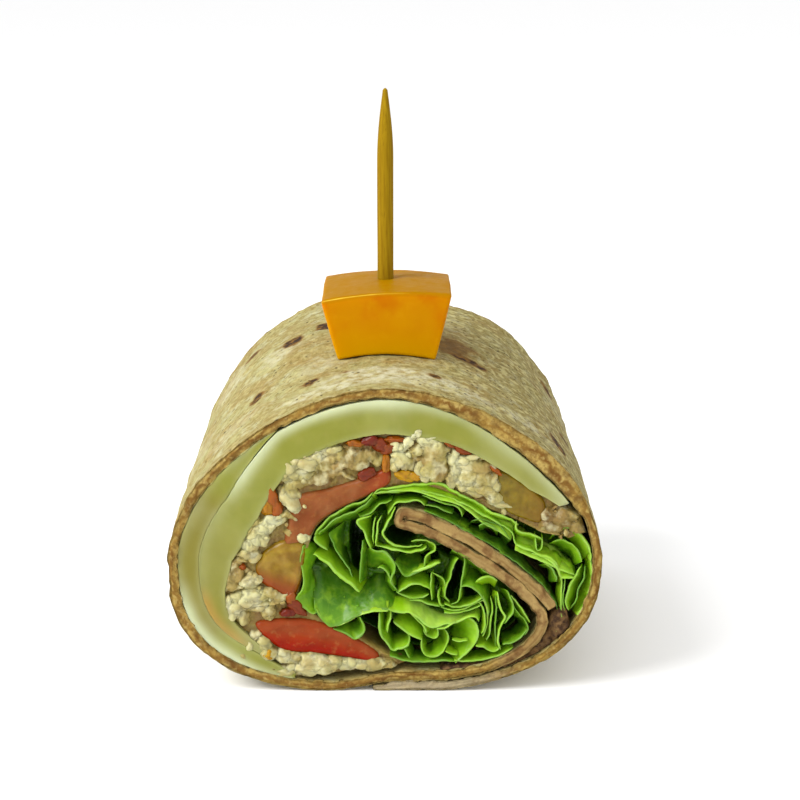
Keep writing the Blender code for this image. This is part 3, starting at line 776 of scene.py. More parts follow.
for name, node, sections, cells in (("long_cheese_slice", "cheese_slice_long", long_slice, (240, 22, 26)),
                                    ("left_cheese_slice", "cheese_slice_left", left_slice, (110, 10, 26))):
    points, faces, s, t, behind = slab(sections, cells, (0.0, 0.5, 0.7), 24.8, 0.16, pulled)
    uneven = field(np.stack([s * 60, behind * 0.3], axis=1), 5.0, 13)
    if sections is long_slice:
        turn = LONG_CHEESE[0, 0] + s * (LONG_CHEESE[-1, 0] - LONG_CHEESE[0, 0])
        thick = np.interp(turn, LONG_CHEESE[:, 0], LONG_CHEESE[:, 2])
        # How strong the painted edge highlight is at each angle round the long slice.
        highlight_strength = np.interp(turn, (19, 60, 80, 90, 146, 156, 190, 226), (0.5, 0.35, 0.6, 1.0, 0.9, 0.2, 0.1, 0.2))
        pale = 0.7 * smoothstep((62 - turn) / 25) + 0.25 * smoothstep((turn - 185) / 20)
        golden = 0.4 * smoothstep((turn - 150) / 25)
    else:
        turn, thick = LEFT_FROM + LEFT_SWEEP * s, 2.9
        # How strong the painted edge highlight is at each angle round the left slice.
        highlight_strength = np.interp(turn, (128, 150, 185, 196, 218, 228, 236), (0.4, 0.15, 0.2, 1.0, 1.0, 0.5, 0.4))
        pale = 0 * s
        golden = 0.8 * smoothstep((turn - 150) / 12) * smoothstep((214 - turn) / 12)
    from_outside, from_inside = t * thick, (1 - t) * thick
    # Painted highlight: a pale band along the outer face, and a fainter one along the inner face.
    edge_highlight = highlight_strength * np.exp(-((from_outside / (1.05 + 0.35 * uneven)) ** 2))
    edge_highlight = edge_highlight + 0.14 * np.exp(-((from_inside / 0.6) ** 2)) + 0.10 * uneven
    juice = np.exp(-((from_outside / 1.0) ** 2)) * smoothstep((turn - 186) / 10) * smoothstep((222 - turn) / 10)
    juice = juice * (sections is long_slice)
    make_piece(name, points, faces, cheese.look, node,
               {"edge_highlight": np.clip(edge_highlight, 0, 1), "pale": np.clip(pale, 0, 1), "golden": golden, "juice": juice})

# %% [markdown]
# ## The melon cube and the toothpick
# The cube is cut with a knife, so its faces are flat, its edges crisp but not sharp, and it narrows towards
# the roll. Melon flesh lets light in, which is why its faces glow and its edges look darker. The toothpick
# is turned wood with a long taper at both ends. Both start as the same block: one gets rounded edges, the
# other has its square section pressed into a circle.

# %% A block with rounded edges
CUBE_X, CUBE_Y, CUBE_TOP = 0.15, -0.6, 51.3
CUBE_TOP_WIDTH, CUBE_BOTTOM_WIDTH, CUBE_DEPTH = 18.1, 13.6, 15.4
CUBE_ARCH, CUBE_EDGE = 0.9, 0.45


def roll_top(x, y):
    """Height of the roll above x: the near end's height, blended into the far end's with the S-curve of y."""
    curve = rim(np.radians(np.linspace(45, 135, 181)))
    ends = [fuller_behind(np.stack([curve[:, 0], np.full(len(curve), end), curve[:, 1]], axis=1))
            for end in (-LENGTH / 2, LENGTH / 2)]
    near, far = (np.interp(x, end[::-1, 0], end[::-1, 2]) for end in ends)
    return near + (far - near) * smoothstep(y / LENGTH + 0.5)


def melon_points(cells):
    """A unit block whose skin is moved onto a smaller block plus a ball of the edge's radius, then widened
    towards its top and stood on the roll. The top rises in the middle."""
    cell, faces = skin_of_block(cells)
    unit = np.stack([2 * crowded(n, 0.7)[cell[:, k]] - 1 for k, n in enumerate(cells)], axis=1)
    half = np.array([0.5 * CUBE_TOP_WIDTH, 0.5 * CUBE_DEPTH, 5.0])
    inner = np.clip(unit * half, CUBE_EDGE - half, half - CUBE_EDGE)
    away = unit * half - inner
    round_block = inner + CUBE_EDGE * away / np.linalg.norm(away, axis=1, keepdims=True)
    across, deep, up = (round_block / (2 * half)).T
    up = up + 0.5
    width = CUBE_BOTTOM_WIDTH + (CUBE_TOP_WIDTH - CUBE_BOTTOM_WIDTH) * up
    x = CUBE_X + across * width
    y = CUBE_Y + deep * CUBE_DEPTH
    tilt = across * (0.3 + 0.65 * (0.5 - deep))
    top = CUBE_TOP + tilt + CUBE_ARCH * (1 - (2 * across) ** 2 * 0.8 - (2 * deep) ** 2 * 0.3)
    base = roll_top(x, y) - 0.05
    points = np.stack([x, y, base + (top - base) * up], axis=1)
    cut = 0.10 * field(points, 5.0, 21) + 0.03 * field(points, 1.4, 22)
    return points + cut[:, None] * away / np.linalg.norm(away, axis=1, keepdims=True), faces, unit


melon = Finish("orange_melon", 0.22, Subsurface_Weight=0.35, Subsurface_Radius=(1.0, 0.55, 0.1),
               Subsurface_Scale=0.0035)
melon.shader.inputs["Specular IOR Level"].default_value = 0.02
height = melon.mark("height")
flesh = melon.mix(melon.range(height, 0.1, 0.8), screen(185, 132, 0), screen(177, 101, 0))
flesh = melon.mix(melon.range(melon.noise(5.0, 3), 0.40, 0.62, 0, 0.6), flesh, screen(186, 131, 0))
flesh = melon.mix(melon.range(melon.noise(1.6, 3), 0.52, 0.75, 0, 0.15), flesh, screen(200, 150, 0))
# Painted shade: the top face is painted darker than the front, against the stronger light it gets from above.
flesh = melon.mix(melon.range(height, 0.93, 0.99), flesh, screen(150, 104, 0))
# Painted highlight: a pale line along the top edge of the front face, on its left half.
top_edge_highlight = melon.sum("MULTIPLY", melon.mark("top_edge_highlight"), melon.range(melon.noise(2.5, 3), 0.35, 0.6, 0.3, 1.0))
melon.colour(melon.mix(top_edge_highlight, flesh, screen(226, 196, 70)))
melon.rough(melon.sum("ADD", melon.range(melon.noise(1.6, 3), 0.3, 0.7, 0.12, 0.3),
                      melon.range(height, 0.95, 0.99, 0, 0.25)))
melon.bump(melon.noise(0.7, 4), 0.2, 0.12)
points, faces, unit = melon_points((34, 34, 30))
make_piece("orange_melon_cube", points, faces, melon.look, "melon_cube",
           {"height": 0.5 + 0.5 * unit[:, 2], "top_edge_highlight": 0.6 * (unit[:, 1] < -0.985) * (unit[:, 2] > 0.97)
            * smoothstep((0.4 - unit[:, 0]) / 0.7)}, swell=False)

# %% The toothpick
PICK_X, PICK_RADIUS, PICK_TOP, PICK_LENGTH, PICK_TAPER, PICK_TIP = -0.05, 1.14, 79.0, 65.0, 10.0, 0.3


def pick_points(cells):
    """A square section pressed into a circle, x sqrt(1 - y^2 / 2) and y sqrt(1 - x^2 / 2), times a radius that
    follows a sine over the taper at each end and a short rounding at the tip. Fine grooves run lengthwise."""
    cell, faces = skin_of_block(cells)
    u, v = (2 * cell[:, k] / cells[k] - 1 for k in (0, 1))
    share = crowded(cells[2], 0.8)[cell[:, 2]]
    end = np.minimum(share, 1 - share) * PICK_LENGTH
    radius = PICK_TIP + (PICK_RADIUS - PICK_TIP) * np.sin(np.clip(end / PICK_TAPER, 0, 1) * math.pi / 2)
    radius = radius * np.sqrt(np.clip(end / 0.25, 0.12, 1))
    x, y = u * np.sqrt(1 - v**2 / 2), v * np.sqrt(1 - u**2 / 2)
    turn = np.arctan2(y, x)
    grooves = field(np.stack([np.cos(turn) * 4, np.sin(turn) * 4, share * 6], axis=1), 1.0, 23)
    radius = radius * (1 + 0.035 * grooves)
    height = PICK_TOP - PICK_LENGTH * (1 - share)
    return np.stack([PICK_X + x * radius, y * radius, height], axis=1), faces


wood = Finish("bamboo", 0.6)
wood.shader.inputs["Specular IOR Level"].default_value = 0.05
along_grain = wood.stretched(1, 1, 0.05)
grain = wood.range(wood.noise(0.25, 4, along_grain), 0.3, 0.7)
stick = wood.mix(grain, screen(122, 92, 4), screen(145, 116, 12))
fibres = wood.range(wood.noise(0.09, 2, along_grain), 0.6, 0.75, 0, 0.6)
wood.colour(wood.mix(fibres, stick, screen(91, 62, 2)))
wood.bump(wood.noise(0.12, 3, along_grain), 0.5, 0.05)
points, faces = pick_points((8, 8, 90))
make_piece("bamboo_pick", points, faces, wood.look, "toothpick", swell=False)

# %% [markdown]
# ## Tomato and pepper
# These are slices and strips with an uneven outline, so each is drawn by a few points round its section.
# Four of the points are its corners, and the block's section is stretched between the four curves that join
# them. Their cut faces are wet: shiny, a little hollow, with the light going into the flesh.


# %% A section between four corners
def lengthwise(low, high, share):
    """The place between low and high at this share."""
    return low + (high - low) * share[:, None]


def between_corners(points, corners):
    """A Coons patch: the blend along s plus the blend along t minus the blend of the four corners, for a closed
    smooth line through the points, split at four of them. Gives a function of s and t."""
    steps = 12
    line = smooth_through(points, steps, closed=True)
    at = [steps * c for c in corners]
    parts = [line[a : b + 1] if b > a else np.concatenate([line[a:], line[: b + 1]])
             for a, b in zip(at, at[1:] + at[:1])]
    low, right, high, left = parts[0], parts[1], parts[2][::-1], parts[3][::-1]

    def sections(s, t):
        bottom, top = along_line(low, s), along_line(high, s)
        first, last = along_line(left, t), along_line(right, t)
        corner = lengthwise(lengthwise(low[:1], low[-1:], s), lengthwise(high[:1], high[-1:], s), t)
        return lengthwise(bottom, top, t) + lengthwise(first, last, s) - corner

    return sections


def soft_face(size, height, seed):
    """A relief of soft swellings of this size and height."""
    return lambda x, z, end: height * field(np.stack([x, z + 40 * end], axis=1), size, seed, 3)


UPPER_TOMATO = [(-13.4, 20.9), (-12.9, 24.4), (-11.9, 27.6), (-7.3, 28.9), (-2.3, 30.6), (0.4, 31.7),
                (0.6, 29.6), (-2.0, 28.0), (-6.0, 26.0), (-8.9, 24.0), (-10.5, 21.6)]
LOWER_TOMATO = [(-17.6, 9.6), (-15.0, 10.2), (-10.8, 10.2), (-6.8, 9.0), (-3.2, 6.9), (-0.9, 5.0),
                (-1.8, 3.8), (-4.7, 4.5), (-9.5, 5.2), (-13.6, 5.6), (-16.4, 7.5)]
LEFT_PEPPER = [(-13.2, 21.6), (-10.9, 21.0), (-10.9, 18.4), (-11.6, 15.0), (-12.6, 13.4), (-14.6, 14.0),
               (-16.9, 15.8), (-17.4, 18.0), (-15.8, 20.4)]
RIGHT_PEPPER = [(15.2, 31.3), (17.9, 30.2), (20.6, 28.0), (21.5, 26.0), (20.8, 24.0), (18.2, 24.7),
                (15.9, 25.9), (14.9, 28.4)]

tomato = Finish("tomato", 0.2, Subsurface_Weight=0.4, Subsurface_Radius=(1.0, 0.25, 0.1), Subsurface_Scale=0.0015)
tomato.shader.inputs["Specular IOR Level"].default_value = 0.1
red = tomato.mark("skin")
pulp = tomato.mix(tomato.range(tomato.noise(2.4, 4), 0.35, 0.65), screen(134, 80, 42), screen(120, 62, 26))
pulp = tomato.mix(tomato.range(red, 0.1, 0.6), pulp, screen(138, 46, 12))
pulp = tomato.mix(tomato.range(red, 0.6, 1.0), pulp, screen(134, 22, 1))
pulp = tomato.mix(tomato.range(tomato.noise(0.8, 3), 0.55, 0.75, 0, 0.35), pulp, screen(160, 110, 56))
tomato.colour(pulp)
tomato.bump(tomato.noise(0.9, 4), 0.3, 0.2)

pepper = Finish("sweet_pepper", 0.2, Subsurface_Weight=0.4, Subsurface_Radius=(1.0, 0.5, 0.1),
                Subsurface_Scale=0.0015)
strip = pepper.mix(pepper.range(pepper.noise(1.6, 4), 0.35, 0.62), screen(138, 112, 18), screen(116, 84, 10))
strip = pepper.mix(pepper.range(pepper.noise(2.4, 3), 0.45, 0.65, 0, 0.6), strip, screen(158, 128, 48))
strip = pepper.mix(pepper.range(pepper.mark("skin"), 0.1, 0.6), strip, screen(124, 72, 8))
strip = pepper.mix(pepper.range(pepper.mark("skin"), 0.6, 1.0), strip, screen(128, 52, 4))
olive = pepper.mix(pepper.range(pepper.noise(1.4, 4), 0.38, 0.6), screen(90, 78, 10), screen(118, 102, 18))
pepper.colour(pepper.mix(pepper.mark("olive"), strip, olive))
pepper.bump(pepper.noise(0.6, 4), 0.3, 0.12)

for name, node, points, corners, look, slot, ripe in (
    ("upper_tomato_slice", "tomato_slice_upper", UPPER_TOMATO, (2, 5, 6, 0), tomato, "tomato",
     lambda s, t: 0.42 * smoothstep((s - 0.6) / 0.3)),
    ("lower_tomato_slice", "tomato_slice_lower", LOWER_TOMATO, (0, 5, 6, 10), tomato, "tomato",
     lambda s, t: 0.42 + 0.58 * smoothstep((t - 0.3) / 0.5)),
    ("left_pepper_strip", "pepper_strip_left", LEFT_PEPPER, (1, 4, 6, 8), pepper, "sweet_pepper",
     lambda s, t: smoothstep((s - 0.45) / 0.5)),
    ("right_pepper_strip", "pepper_strip_right", RIGHT_PEPPER, (0, 2, 4, 7), pepper, "sweet_pepper",
     lambda s, t: 0.35 * smoothstep(s)),
):
    points, faces, s, t, behind = slab(between_corners(points, corners), (70, 36, 26), (0.6, 0.6, 0.7), 24.55, 0.8,
                                       soft_face(2.0, 0.45, len(name)))
    make_piece(name, points, faces, look.look, node,
               {"skin": ripe(s, t), "olive": (0.9 - 0.5 * s) * (name == "right_pepper_strip")})

# %% [markdown]
# ## Shredded chicken
# Chicken breast that has been pulled apart is a heap of lumps, from a grain of rice to a bean, pale and a
# bit darker where it was near the pan. The core of each heap is a block whose cut faces are a bed of
# crumbs. Real lumps and loose crumbs lie on it at both ends: balls made from a block, pushed in and out by
# a soft field.

# %% Balls, many at a time
def balls(places, radii, turns, cells, rough, seed):
    """Many lumps as one set of points and faces. Each is a block pressed onto a ball, scaled by its three radii,
    swollen by a soft random field, creased by the folds of a finer one, turned about Y by its own angle and
    moved to its place."""
    cell, faces = skin_of_block((cells,) * 3)
    unit = cell / cells * 2 - 1
    unit = unit / np.linalg.norm(unit, axis=1, keepdims=True)
    count, size = len(places), len(unit)
    shift = np.arange(count)[:, None, None] * 7.7
    mean = radii.mean(axis=1)[:, None, None]
    swell = (1 + rough * field(unit[None] * 1.1 + shift, 1.0, seed, 2)
             + 0.6 * rough * (0.5 - np.abs(field(unit[None] * mean / 0.45 + shift, 1.0, seed + 1, 2))))
    body = unit[None] * radii[:, None, :] * swell[..., None]
    c, s = np.cos(turns)[:, None], np.sin(turns)[:, None]
    x, z = body[..., 0] * c - body[..., 2] * s, body[..., 0] * s + body[..., 2] * c
    points = np.stack([x, body[..., 1], z], axis=-1) + places[:, None, :]
    numbers = faces[None] + size * np.arange(count)[:, None, None]
    return points.reshape(-1, 3), numbers.reshape(-1, 4), np.repeat(np.arange(count), size)


# %% Where the lumps lie
INNER_LINE = smooth_through([
    (25.8, 19.4), (24.6, 21.6), (22.4, 22.4), (20.3, 22.9), (17.7, 24.2), (13.6, 25.9), (9.3, 27.8),
    (5.3, 29.1), (1.3, 28.9), (-2.0, 27.7), (-4.6, 26.4), (-6.9, 25.2), (-9.2, 23.2), (-10.5, 19.8),
    (-11.2, 16.0), (-11.6, 13.2), (-9.9, 11.2), (-7.6, 9.6), (-4.4, 8.0), (-1.8, 6.4), (0.8, 4.8),
    (3.4, 4.1)], 6)
BED_TURN = np.concatenate([[5, 14], LONG_CHEESE[:, 0], [236, 246, 262, 274]])
BED_DEPTH = np.concatenate([[1.7, 1.7], LONG_CHEESE[:, 1] + LONG_CHEESE[:, 2] - 0.2, [3.4, 2.0, 2.9, 3.2]])


def bed(turns, points):
    """Between the inner face of the cheese, from one angle to another, and a stretch of the lettuce's outline."""
    inner = INNER_LINE[6 * points[0] : 6 * points[1] + 1]

    def sections(s, t):
        turn = turns[0] + s * (turns[1] - turns[0])
        outer = rim(np.radians(turn), np.interp(turn, BED_TURN, BED_DEPTH))
        return lengthwise(outer, along_line(inner, s), t)

    return sections


# Each lump: x, z, half length, half height, turn in degrees, and its tone from white 0 over tan 0.6 to brown 1
TOP_LUMPS = [
    (1.3, 34.8, 0.55, 0.5, 0, 0.0), (2.0, 34.6, 0.6, 0.5, 0, 0.0), (2.7, 34.9, 0.6, 0.5, 30, 0.0),
    (3.2, 35.5, 0.6, 0.5, 60, 0.0), (3.7, 36.2, 0.65, 0.5, 45, 0.0), (4.3, 36.6, 0.5, 0.45, 10, 0.0),
    (5.8, 35.6, 1.3, 0.85, 10, 0.0), (6.4, 34.2, 1.6, 1.2, 0, 0.3), (6.0, 32.8, 1.4, 1.3, 0, 0.35),
    (7.3, 33.2, 0.9, 1.3, 0, 0.42), (5.2, 31.4, 1.1, 1.3, 0, 0.28), (6.5, 31.0, 1.3, 1.2, 0, 0.38),
    (7.7, 31.5, 0.6, 1.2, 0, 0.62), (1.9, 33.0, 1.2, 1.2, 0, 0.15), (2.9, 32.6, 0.8, 1.0, 0, 0.25),
    (1.3, 32.1, 0.6, 0.6, 0, 0.3), (4.1, 33.1, 1.0, 0.5, -10, 0.75), (4.3, 34.2, 0.9, 0.6, 20, 0.3),
    (9.3, 33.0, 0.75, 1.2, 0, 0.0), (9.6, 31.5, 0.75, 1.5, 0, 0.05), (10.4, 32.8, 0.7, 0.6, 0, 0.1),
    (11.4, 33.2, 0.9, 0.35, 5, 0.12), (9.0, 30.2, 0.8, 0.9, 0, 0.22), (13.2, 33.5, 0.75, 0.35, 40, 0.2),
    (11.5, 31.9, 1.2, 1.0, 0, 0.33), (12.6, 31.7, 1.2, 1.0, 0, 0.4), (11.2, 30.4, 1.2, 1.1, 0, 0.3),
    (12.8, 30.2, 1.3, 1.1, 0, 0.45), (14.1, 30.3, 0.9, 0.8, -40, 0.05), (14.7, 29.3, 0.5, 0.9, 0, 0.2),
    (11.8, 28.9, 1.3, 0.9, -15, 0.3), (13.4, 28.5, 1.3, 1.0, -15, 0.4), (14.5, 27.5, 0.9, 0.9, 0, 0.3),
    (15.5, 26.7, 1.2, 0.4, -12, 0.15), (10.2, 29.5, 0.9, 0.7, -15, 0.3), (14.3, 31.8, 1.0, 0.45, -40, 0.85),
    (-9.3, 34.3, 0.9, 0.6, 0, 0.0), (-8.0, 34.5, 1.0, 0.5, 0, 0.05), (-6.8, 34.3, 0.8, 0.5, 0, 0.15),
    (-10.6, 33.4, 0.9, 0.8, 20, 0.1), (-11.6, 32.5, 1.0, 0.9, 30, 0.2), (-12.6, 31.7, 0.9, 0.8, 0, 0.22),
    (-10.2, 32.3, 1.1, 0.9, 0, 0.15), (-8.8, 33.2, 1.0, 0.8, 0, 0.25), (-7.5, 33.2, 0.9, 0.7, 0, 0.38),
    (-12.0, 31.0, 1.0, 0.8, 0, 0.2), (-10.7, 31.0, 1.0, 0.8, 0, 0.3), (-9.2, 31.9, 1.0, 0.7, 0, 0.36),
    (-8.0, 32.0, 1.0, 0.7, 0, 0.48), (-13.2, 30.6, 0.7, 0.7, 0, 0.3), (-11.6, 29.6, 1.0, 0.7, 0, 0.5),
    (-10.2, 29.9, 1.1, 0.7, 10, 0.58), (-8.6, 30.3, 1.1, 0.7, 10, 0.62), (-7.2, 31.0, 1.1, 0.6, 10, 0.6),
    (-12.7, 29.3, 0.7, 0.6, 0, 0.35), (-5.9, 33.3, 1.0, 0.8, 0, 0.56), (-4.5, 33.6, 0.9, 1.0, 0, 0.62),
    (-3.3, 33.0, 1.0, 0.9, 0, 0.58), (-5.0, 32.2, 1.1, 0.7, 0, 0.6), (-3.6, 32.0, 1.0, 0.6, 0, 0.5),
    (-2.2, 33.3, 0.8, 0.7, 0, 0.5), (-1.2, 32.7, 0.7, 0.6, 0, 0.42), (-6.2, 31.9, 1.0, 0.7, 0, 0.62),
    (-5.4, 30.6, 1.3, 0.35, -15, 0.45), (-4.3, 34.9, 1.0, 0.5, 0, 0.82), (-12.7, 27.5, 1.5, 1.0, -50, 0.08),
    (-12.0, 26.4, 0.8, 0.7, -40, 0.2)]
LEFT_LUMPS = [
    (-15.3, 24.2, 1.3, 0.9, 20, 0.0), (-14.2, 24.6, 1.0, 0.6, 20, 0.15), (-16.2, 23.2, 1.0, 0.8, 30, 0.05),
    (-17.3, 22.0, 1.1, 0.9, 30, 0.05), (-18.1, 20.9, 1.0, 0.9, 30, 0.1), (-16.6, 21.6, 0.9, 0.8, 0, 0.15),
    (-17.2, 24.2, 0.8, 0.8, 0, 0.5), (-18.0, 23.2, 0.8, 0.9, 0, 0.52), (-13.4, 25.0, 0.9, 0.7, 0, 0.42),
    (-12.6, 24.7, 0.9, 0.5, 0, 0.48), (-18.6, 19.7, 0.8, 0.7, 0, 0.2), (-17.6, 19.4, 0.8, 0.7, 0, 0.25),
    (-12.6, 22.5, 0.9, 0.55, 0, 0.4), (-11.0, 22.0, 0.62, 0.62, 0, 0.0), (-19.3, 18.6, 0.7, 0.6, 0, 0.45),
    (-20.3, 17.9, 0.8, 0.6, 0, 0.65), (-21.3, 16.7, 1.1, 0.9, -30, 0.48), (-20.6, 15.3, 1.0, 0.9, 0, 0.54),
    (-21.8, 15.4, 0.6, 0.8, 0, 0.56), (-19.9, 16.8, 0.7, 0.7, 0, 0.58), (-18.2, 15.8, 1.1, 0.9, 0, 0.05),
    (-17.2, 16.1, 0.6, 0.6, 0, 0.1), (-18.2, 13.4, 1.2, 1.1, 0, 0.05), (-16.9, 13.6, 1.1, 1.1, 0, 0.2),
    (-16.8, 12.2, 1.2, 0.8, 0, 0.22), (-17.9, 12.1, 0.8, 0.7, 0, 0.2), (-15.4, 14.0, 1.0, 1.1, 0, 0.48),
    (-14.4, 13.3, 0.8, 1.2, 0, 0.52), (-13.6, 14.0, 0.4, 0.8, 0, 0.35), (-14.8, 12.0, 1.1, 0.9, 0, 0.48),
    (-15.9, 11.3, 0.9, 0.8, 0, 0.3), (-15.8, 10.6, 0.5, 0.5, 0, 0.3), (-13.7, 11.6, 0.5, 0.6, 0, 0.48),
    (-21.2, 12.1, 0.7, 1.3, 0, 0.0), (-20.2, 13.1, 1.0, 0.8, 0, 0.12), (-20.0, 11.6, 1.1, 1.0, 0, 0.15),
    (-19.3, 10.5, 0.8, 0.9, 0, 0.2), (-20.8, 10.9, 0.6, 0.6, 0, 0.1), (-19.2, 12.3, 0.7, 0.8, 0, 0.28)]
LOW_LUMPS = [
    (-17.9, 7.6, 0.9, 0.6, 50, 0.05), (-18.4, 6.5, 0.5, 0.6, 0, 0.1), (-16.4, 6.5, 1.1, 1.0, 0, 0.28),
    (-15.9, 5.4, 0.9, 0.9, 0, 0.3), (-16.9, 4.6, 0.5, 1.1, 0, 0.15), (-15.6, 4.3, 0.7, 0.5, 0, 0.35),
    (-12.6, 3.2, 1.5, 1.1, 0, 0.05), (-10.6, 3.5, 1.5, 1.2, 0, 0.08), (-8.6, 3.6, 1.5, 1.2, 0, 0.12),
    (-6.9, 3.9, 1.1, 0.9, 10, 0.2), (-12.6, 4.6, 1.3, 0.6, 0, 0.3), (-15.3, 2.9, 1.5, 0.5, 0, 0.8),
    (-13.8, 4.9, 1.0, 0.8, 0, 0.25),
    (-10.0, 4.6, 1.6, 0.5, 0, 0.3), (-5.2, 3.7, 1.2, 0.8, 0, 0.12), (-3.2, 3.7, 1.3, 0.8, 0, 0.16),
    (-1.4, 3.6, 1.2, 0.8, 0, 0.3), (0.4, 3.6, 1.1, 0.8, 0, 0.45), (-13.9, 2.4, 1.4, 0.7, 0, 0.3),
    (-18.3, 4.2, 1.2, 0.8, 30, 0.4), (-19.6, 5.6, 0.9, 0.9, 0, 0.35), (-17.6, 3.2, 1.2, 0.6, 0, 0.5)]
RIGHT_LUMPS = [
    (22.1, 25.3, 1.2, 1.0, 0, 0.9), (23.4, 24.9, 1.2, 1.1, -20, 0.75), (22.0, 23.9, 1.1, 0.9, 0, 0.85),
    (24.3, 24.2, 0.7, 0.9, 0, 0.7), (21.6, 22.8, 1.0, 0.8, 0, 0.6), (22.5, 22.3, 1.0, 0.8, 0, 0.5),
    (23.2, 23.4, 0.9, 0.7, 0, 0.6), (25.0, 25.4, 0.9, 0.8, 0, 0.5), (25.6, 23.6, 0.8, 0.9, 0, 0.6)]
print("lumps placed by hand:", sum(len(rows) for rows in (TOP_LUMPS, LEFT_LUMPS, LOW_LUMPS, RIGHT_LUMPS)))

# %% The heaps
chicken = Finish("shredded_chicken", 0.5, Subsurface_Weight=0.5, Subsurface_Radius=(1.0, 0.9, 0.75),
                 Subsurface_Scale=0.001)
tone, hollow = chicken.mark("tone"), chicken.mark("hollow")
meat = chicken.mix(chicken.range(tone, 0.0, 0.35), screen(188, 184, 134), screen(155, 144, 84))
meat = chicken.mix(chicken.range(tone, 0.35, 0.65), meat, screen(128, 107, 54))
meat = chicken.mix(chicken.range(tone, 0.65, 1.0), meat, screen(84, 56, 15))
meat = chicken.mix(chicken.range(chicken.noise(2.6, 4), 0.46, 0.62, 0, 0.45), meat, screen(150, 124, 68))
meat = chicken.mix(chicken.range(chicken.noise(1.6, 4), 0.5, 0.66, 0, 0.5), meat, screen(208, 205, 164))
hollow_shade_colour = chicken.mix(chicken.range(chicken.noise(1.6, 4), 0.42, 0.6), screen(134, 116, 54), screen(116, 82, 27))
# Painted shade: the hollows between the lumps and the places behind the cut are painted a darker tan.
meat = chicken.mix(chicken.range(hollow, 0.2, 1.0, 0, 0.8), meat, hollow_shade_colour)
chicken.colour(meat)
chicken.rough(chicken.range(chicken.noise(0.8, 3), 0.3, 0.7, 0.3, 0.6))
chicken.bump(chicken.noise(0.35, 4), 0.45, 0.12)
END_FACE = LENGTH / 2 - 0.3
BED_FACE = 23.6
LUMP_SCALE = 1.25


def lumps_here(points, rows, end, seed):
    """How high the lumps stand at these places: the highest of half ellipsoids, looked up at a place shifted by
    a fine field, so that their edges are ragged. A fine folded field, 1 - |field|, makes them broken. At the far
    end the places are shifted once more by a wide field."""
    wide = np.stack([field(points, 6.0, seed), field(points, 6.0, seed + 1)], axis=1)
    fine = np.stack([field(points, 0.8, seed + 2, 2), field(points, 0.8, seed + 3, 2)], axis=1)
    middle = np.stack([field(points, 2.1, seed + 4), field(points, 2.1, seed + 5)], axis=1)
    place = points + 0.42 * fine + 0.55 * middle + 1.3 * wide * (np.reshape(end, (-1, 1)) > 0)
    off = place[:, None] - rows[None, :, :2]
    c, s = np.cos(np.radians(rows[:, 4])), np.sin(np.radians(rows[:, 4]))
    a, b = LUMP_SCALE * rows[:, 2], LUMP_SCALE * rows[:, 3]
    q = ((off[..., 0] * c + off[..., 1] * s) / a) ** 2 + ((off[..., 1] * c - off[..., 0] * s) / b) ** 2
    height = (0.35 + 0.75 * np.minimum(a, b)) * np.sqrt(np.clip(1 - q, 0, 1))
    near = np.exp(-(off**2).sum(axis=-1) / (2 * 0.6**2))
    tone = ((near * rows[:, 5]).sum(axis=1) + 0.02 * 0.6) / (near.sum(axis=1) + 0.02)
    return height.max(axis=1), tone


def broken(points, end):
    """A fine relief like torn meat: folds of two fields."""
    place = np.column_stack([points, 40 * np.reshape(end, -1)])
    return 0.42 * (0.6 - np.abs(field(place, 0.85, 44, 2))) + 0.16 * (0.5 - np.abs(field(place, 0.34, 45, 2)))


def sunk(points):
    """How far a point lies behind the cut, from 0 to 1. The hollows between the lumps get painted shade by it."""
    return smoothstep((END_FACE + 0.1 - np.abs(points[:, 1])) / 1.0)


def lumps_at_both_ends(rows, seed):
    """The palest lumps as bodies of their own, partly sunk in the bed, at the near end and jostled at the far."""
    rows = rows[rows[:, 5] < 0.32]
    random = np.random.default_rng(seed)
    sets = []
    for end in (-1, 1):
        jostle = 0 if end < 0 else 1
        place = rows[:, :2] + jostle * random.normal(0, 0.5, (len(rows), 2))
        radii = np.stack([rows[:, 2], 0.8 * np.minimum(rows[:, 2], rows[:, 3]) + 0.25, rows[:, 3]], axis=1)
        radii = radii * LUMP_SCALE
        y = end * (END_FACE - radii[:, 1] * 0.85 + random.uniform(-0.25, 0.15, len(rows)))
        points, faces, which = balls(np.stack([place[:, 0], y, place[:, 1]], axis=1), radii,
                                     np.radians(rows[:, 4]) + jostle * random.normal(0, 0.8, len(rows)),
                                     9, 0.45, seed)
        sets.append((points, faces, {"tone": rows[which, 5], "hollow": sunk(points)}))
    return sets


def loose_crumbs(rows, count, seed):
    """Small crumbs beside the lumps at both ends, each with the tone of its lump."""
    random = np.random.default_rng(seed)
    beside_which = random.integers(0, len(rows), count)
    sets = []
    for end in (-1, 1):
        place = rows[beside_which, :2] + random.normal(0, 0.75, (count, 2))
        size = random.uniform(0.16, 0.42, count)
        radii = size[:, None] * random.uniform(0.6, 1.5, (count, 3))
        y = end * (END_FACE - 0.25 - random.uniform(-0.15, 0.6, count))
        points, faces, which = balls(np.stack([place[:, 0], y, place[:, 1]], axis=1), radii,
                                     random.uniform(0, 3, count), 4, 0.5, seed)
        tone = np.clip(rows[beside_which, 5] + random.normal(0, 0.1, count), 0, 1)
        sets.append((points, faces, {"tone": tone[which], "hollow": sunk(points)}))
    return sets


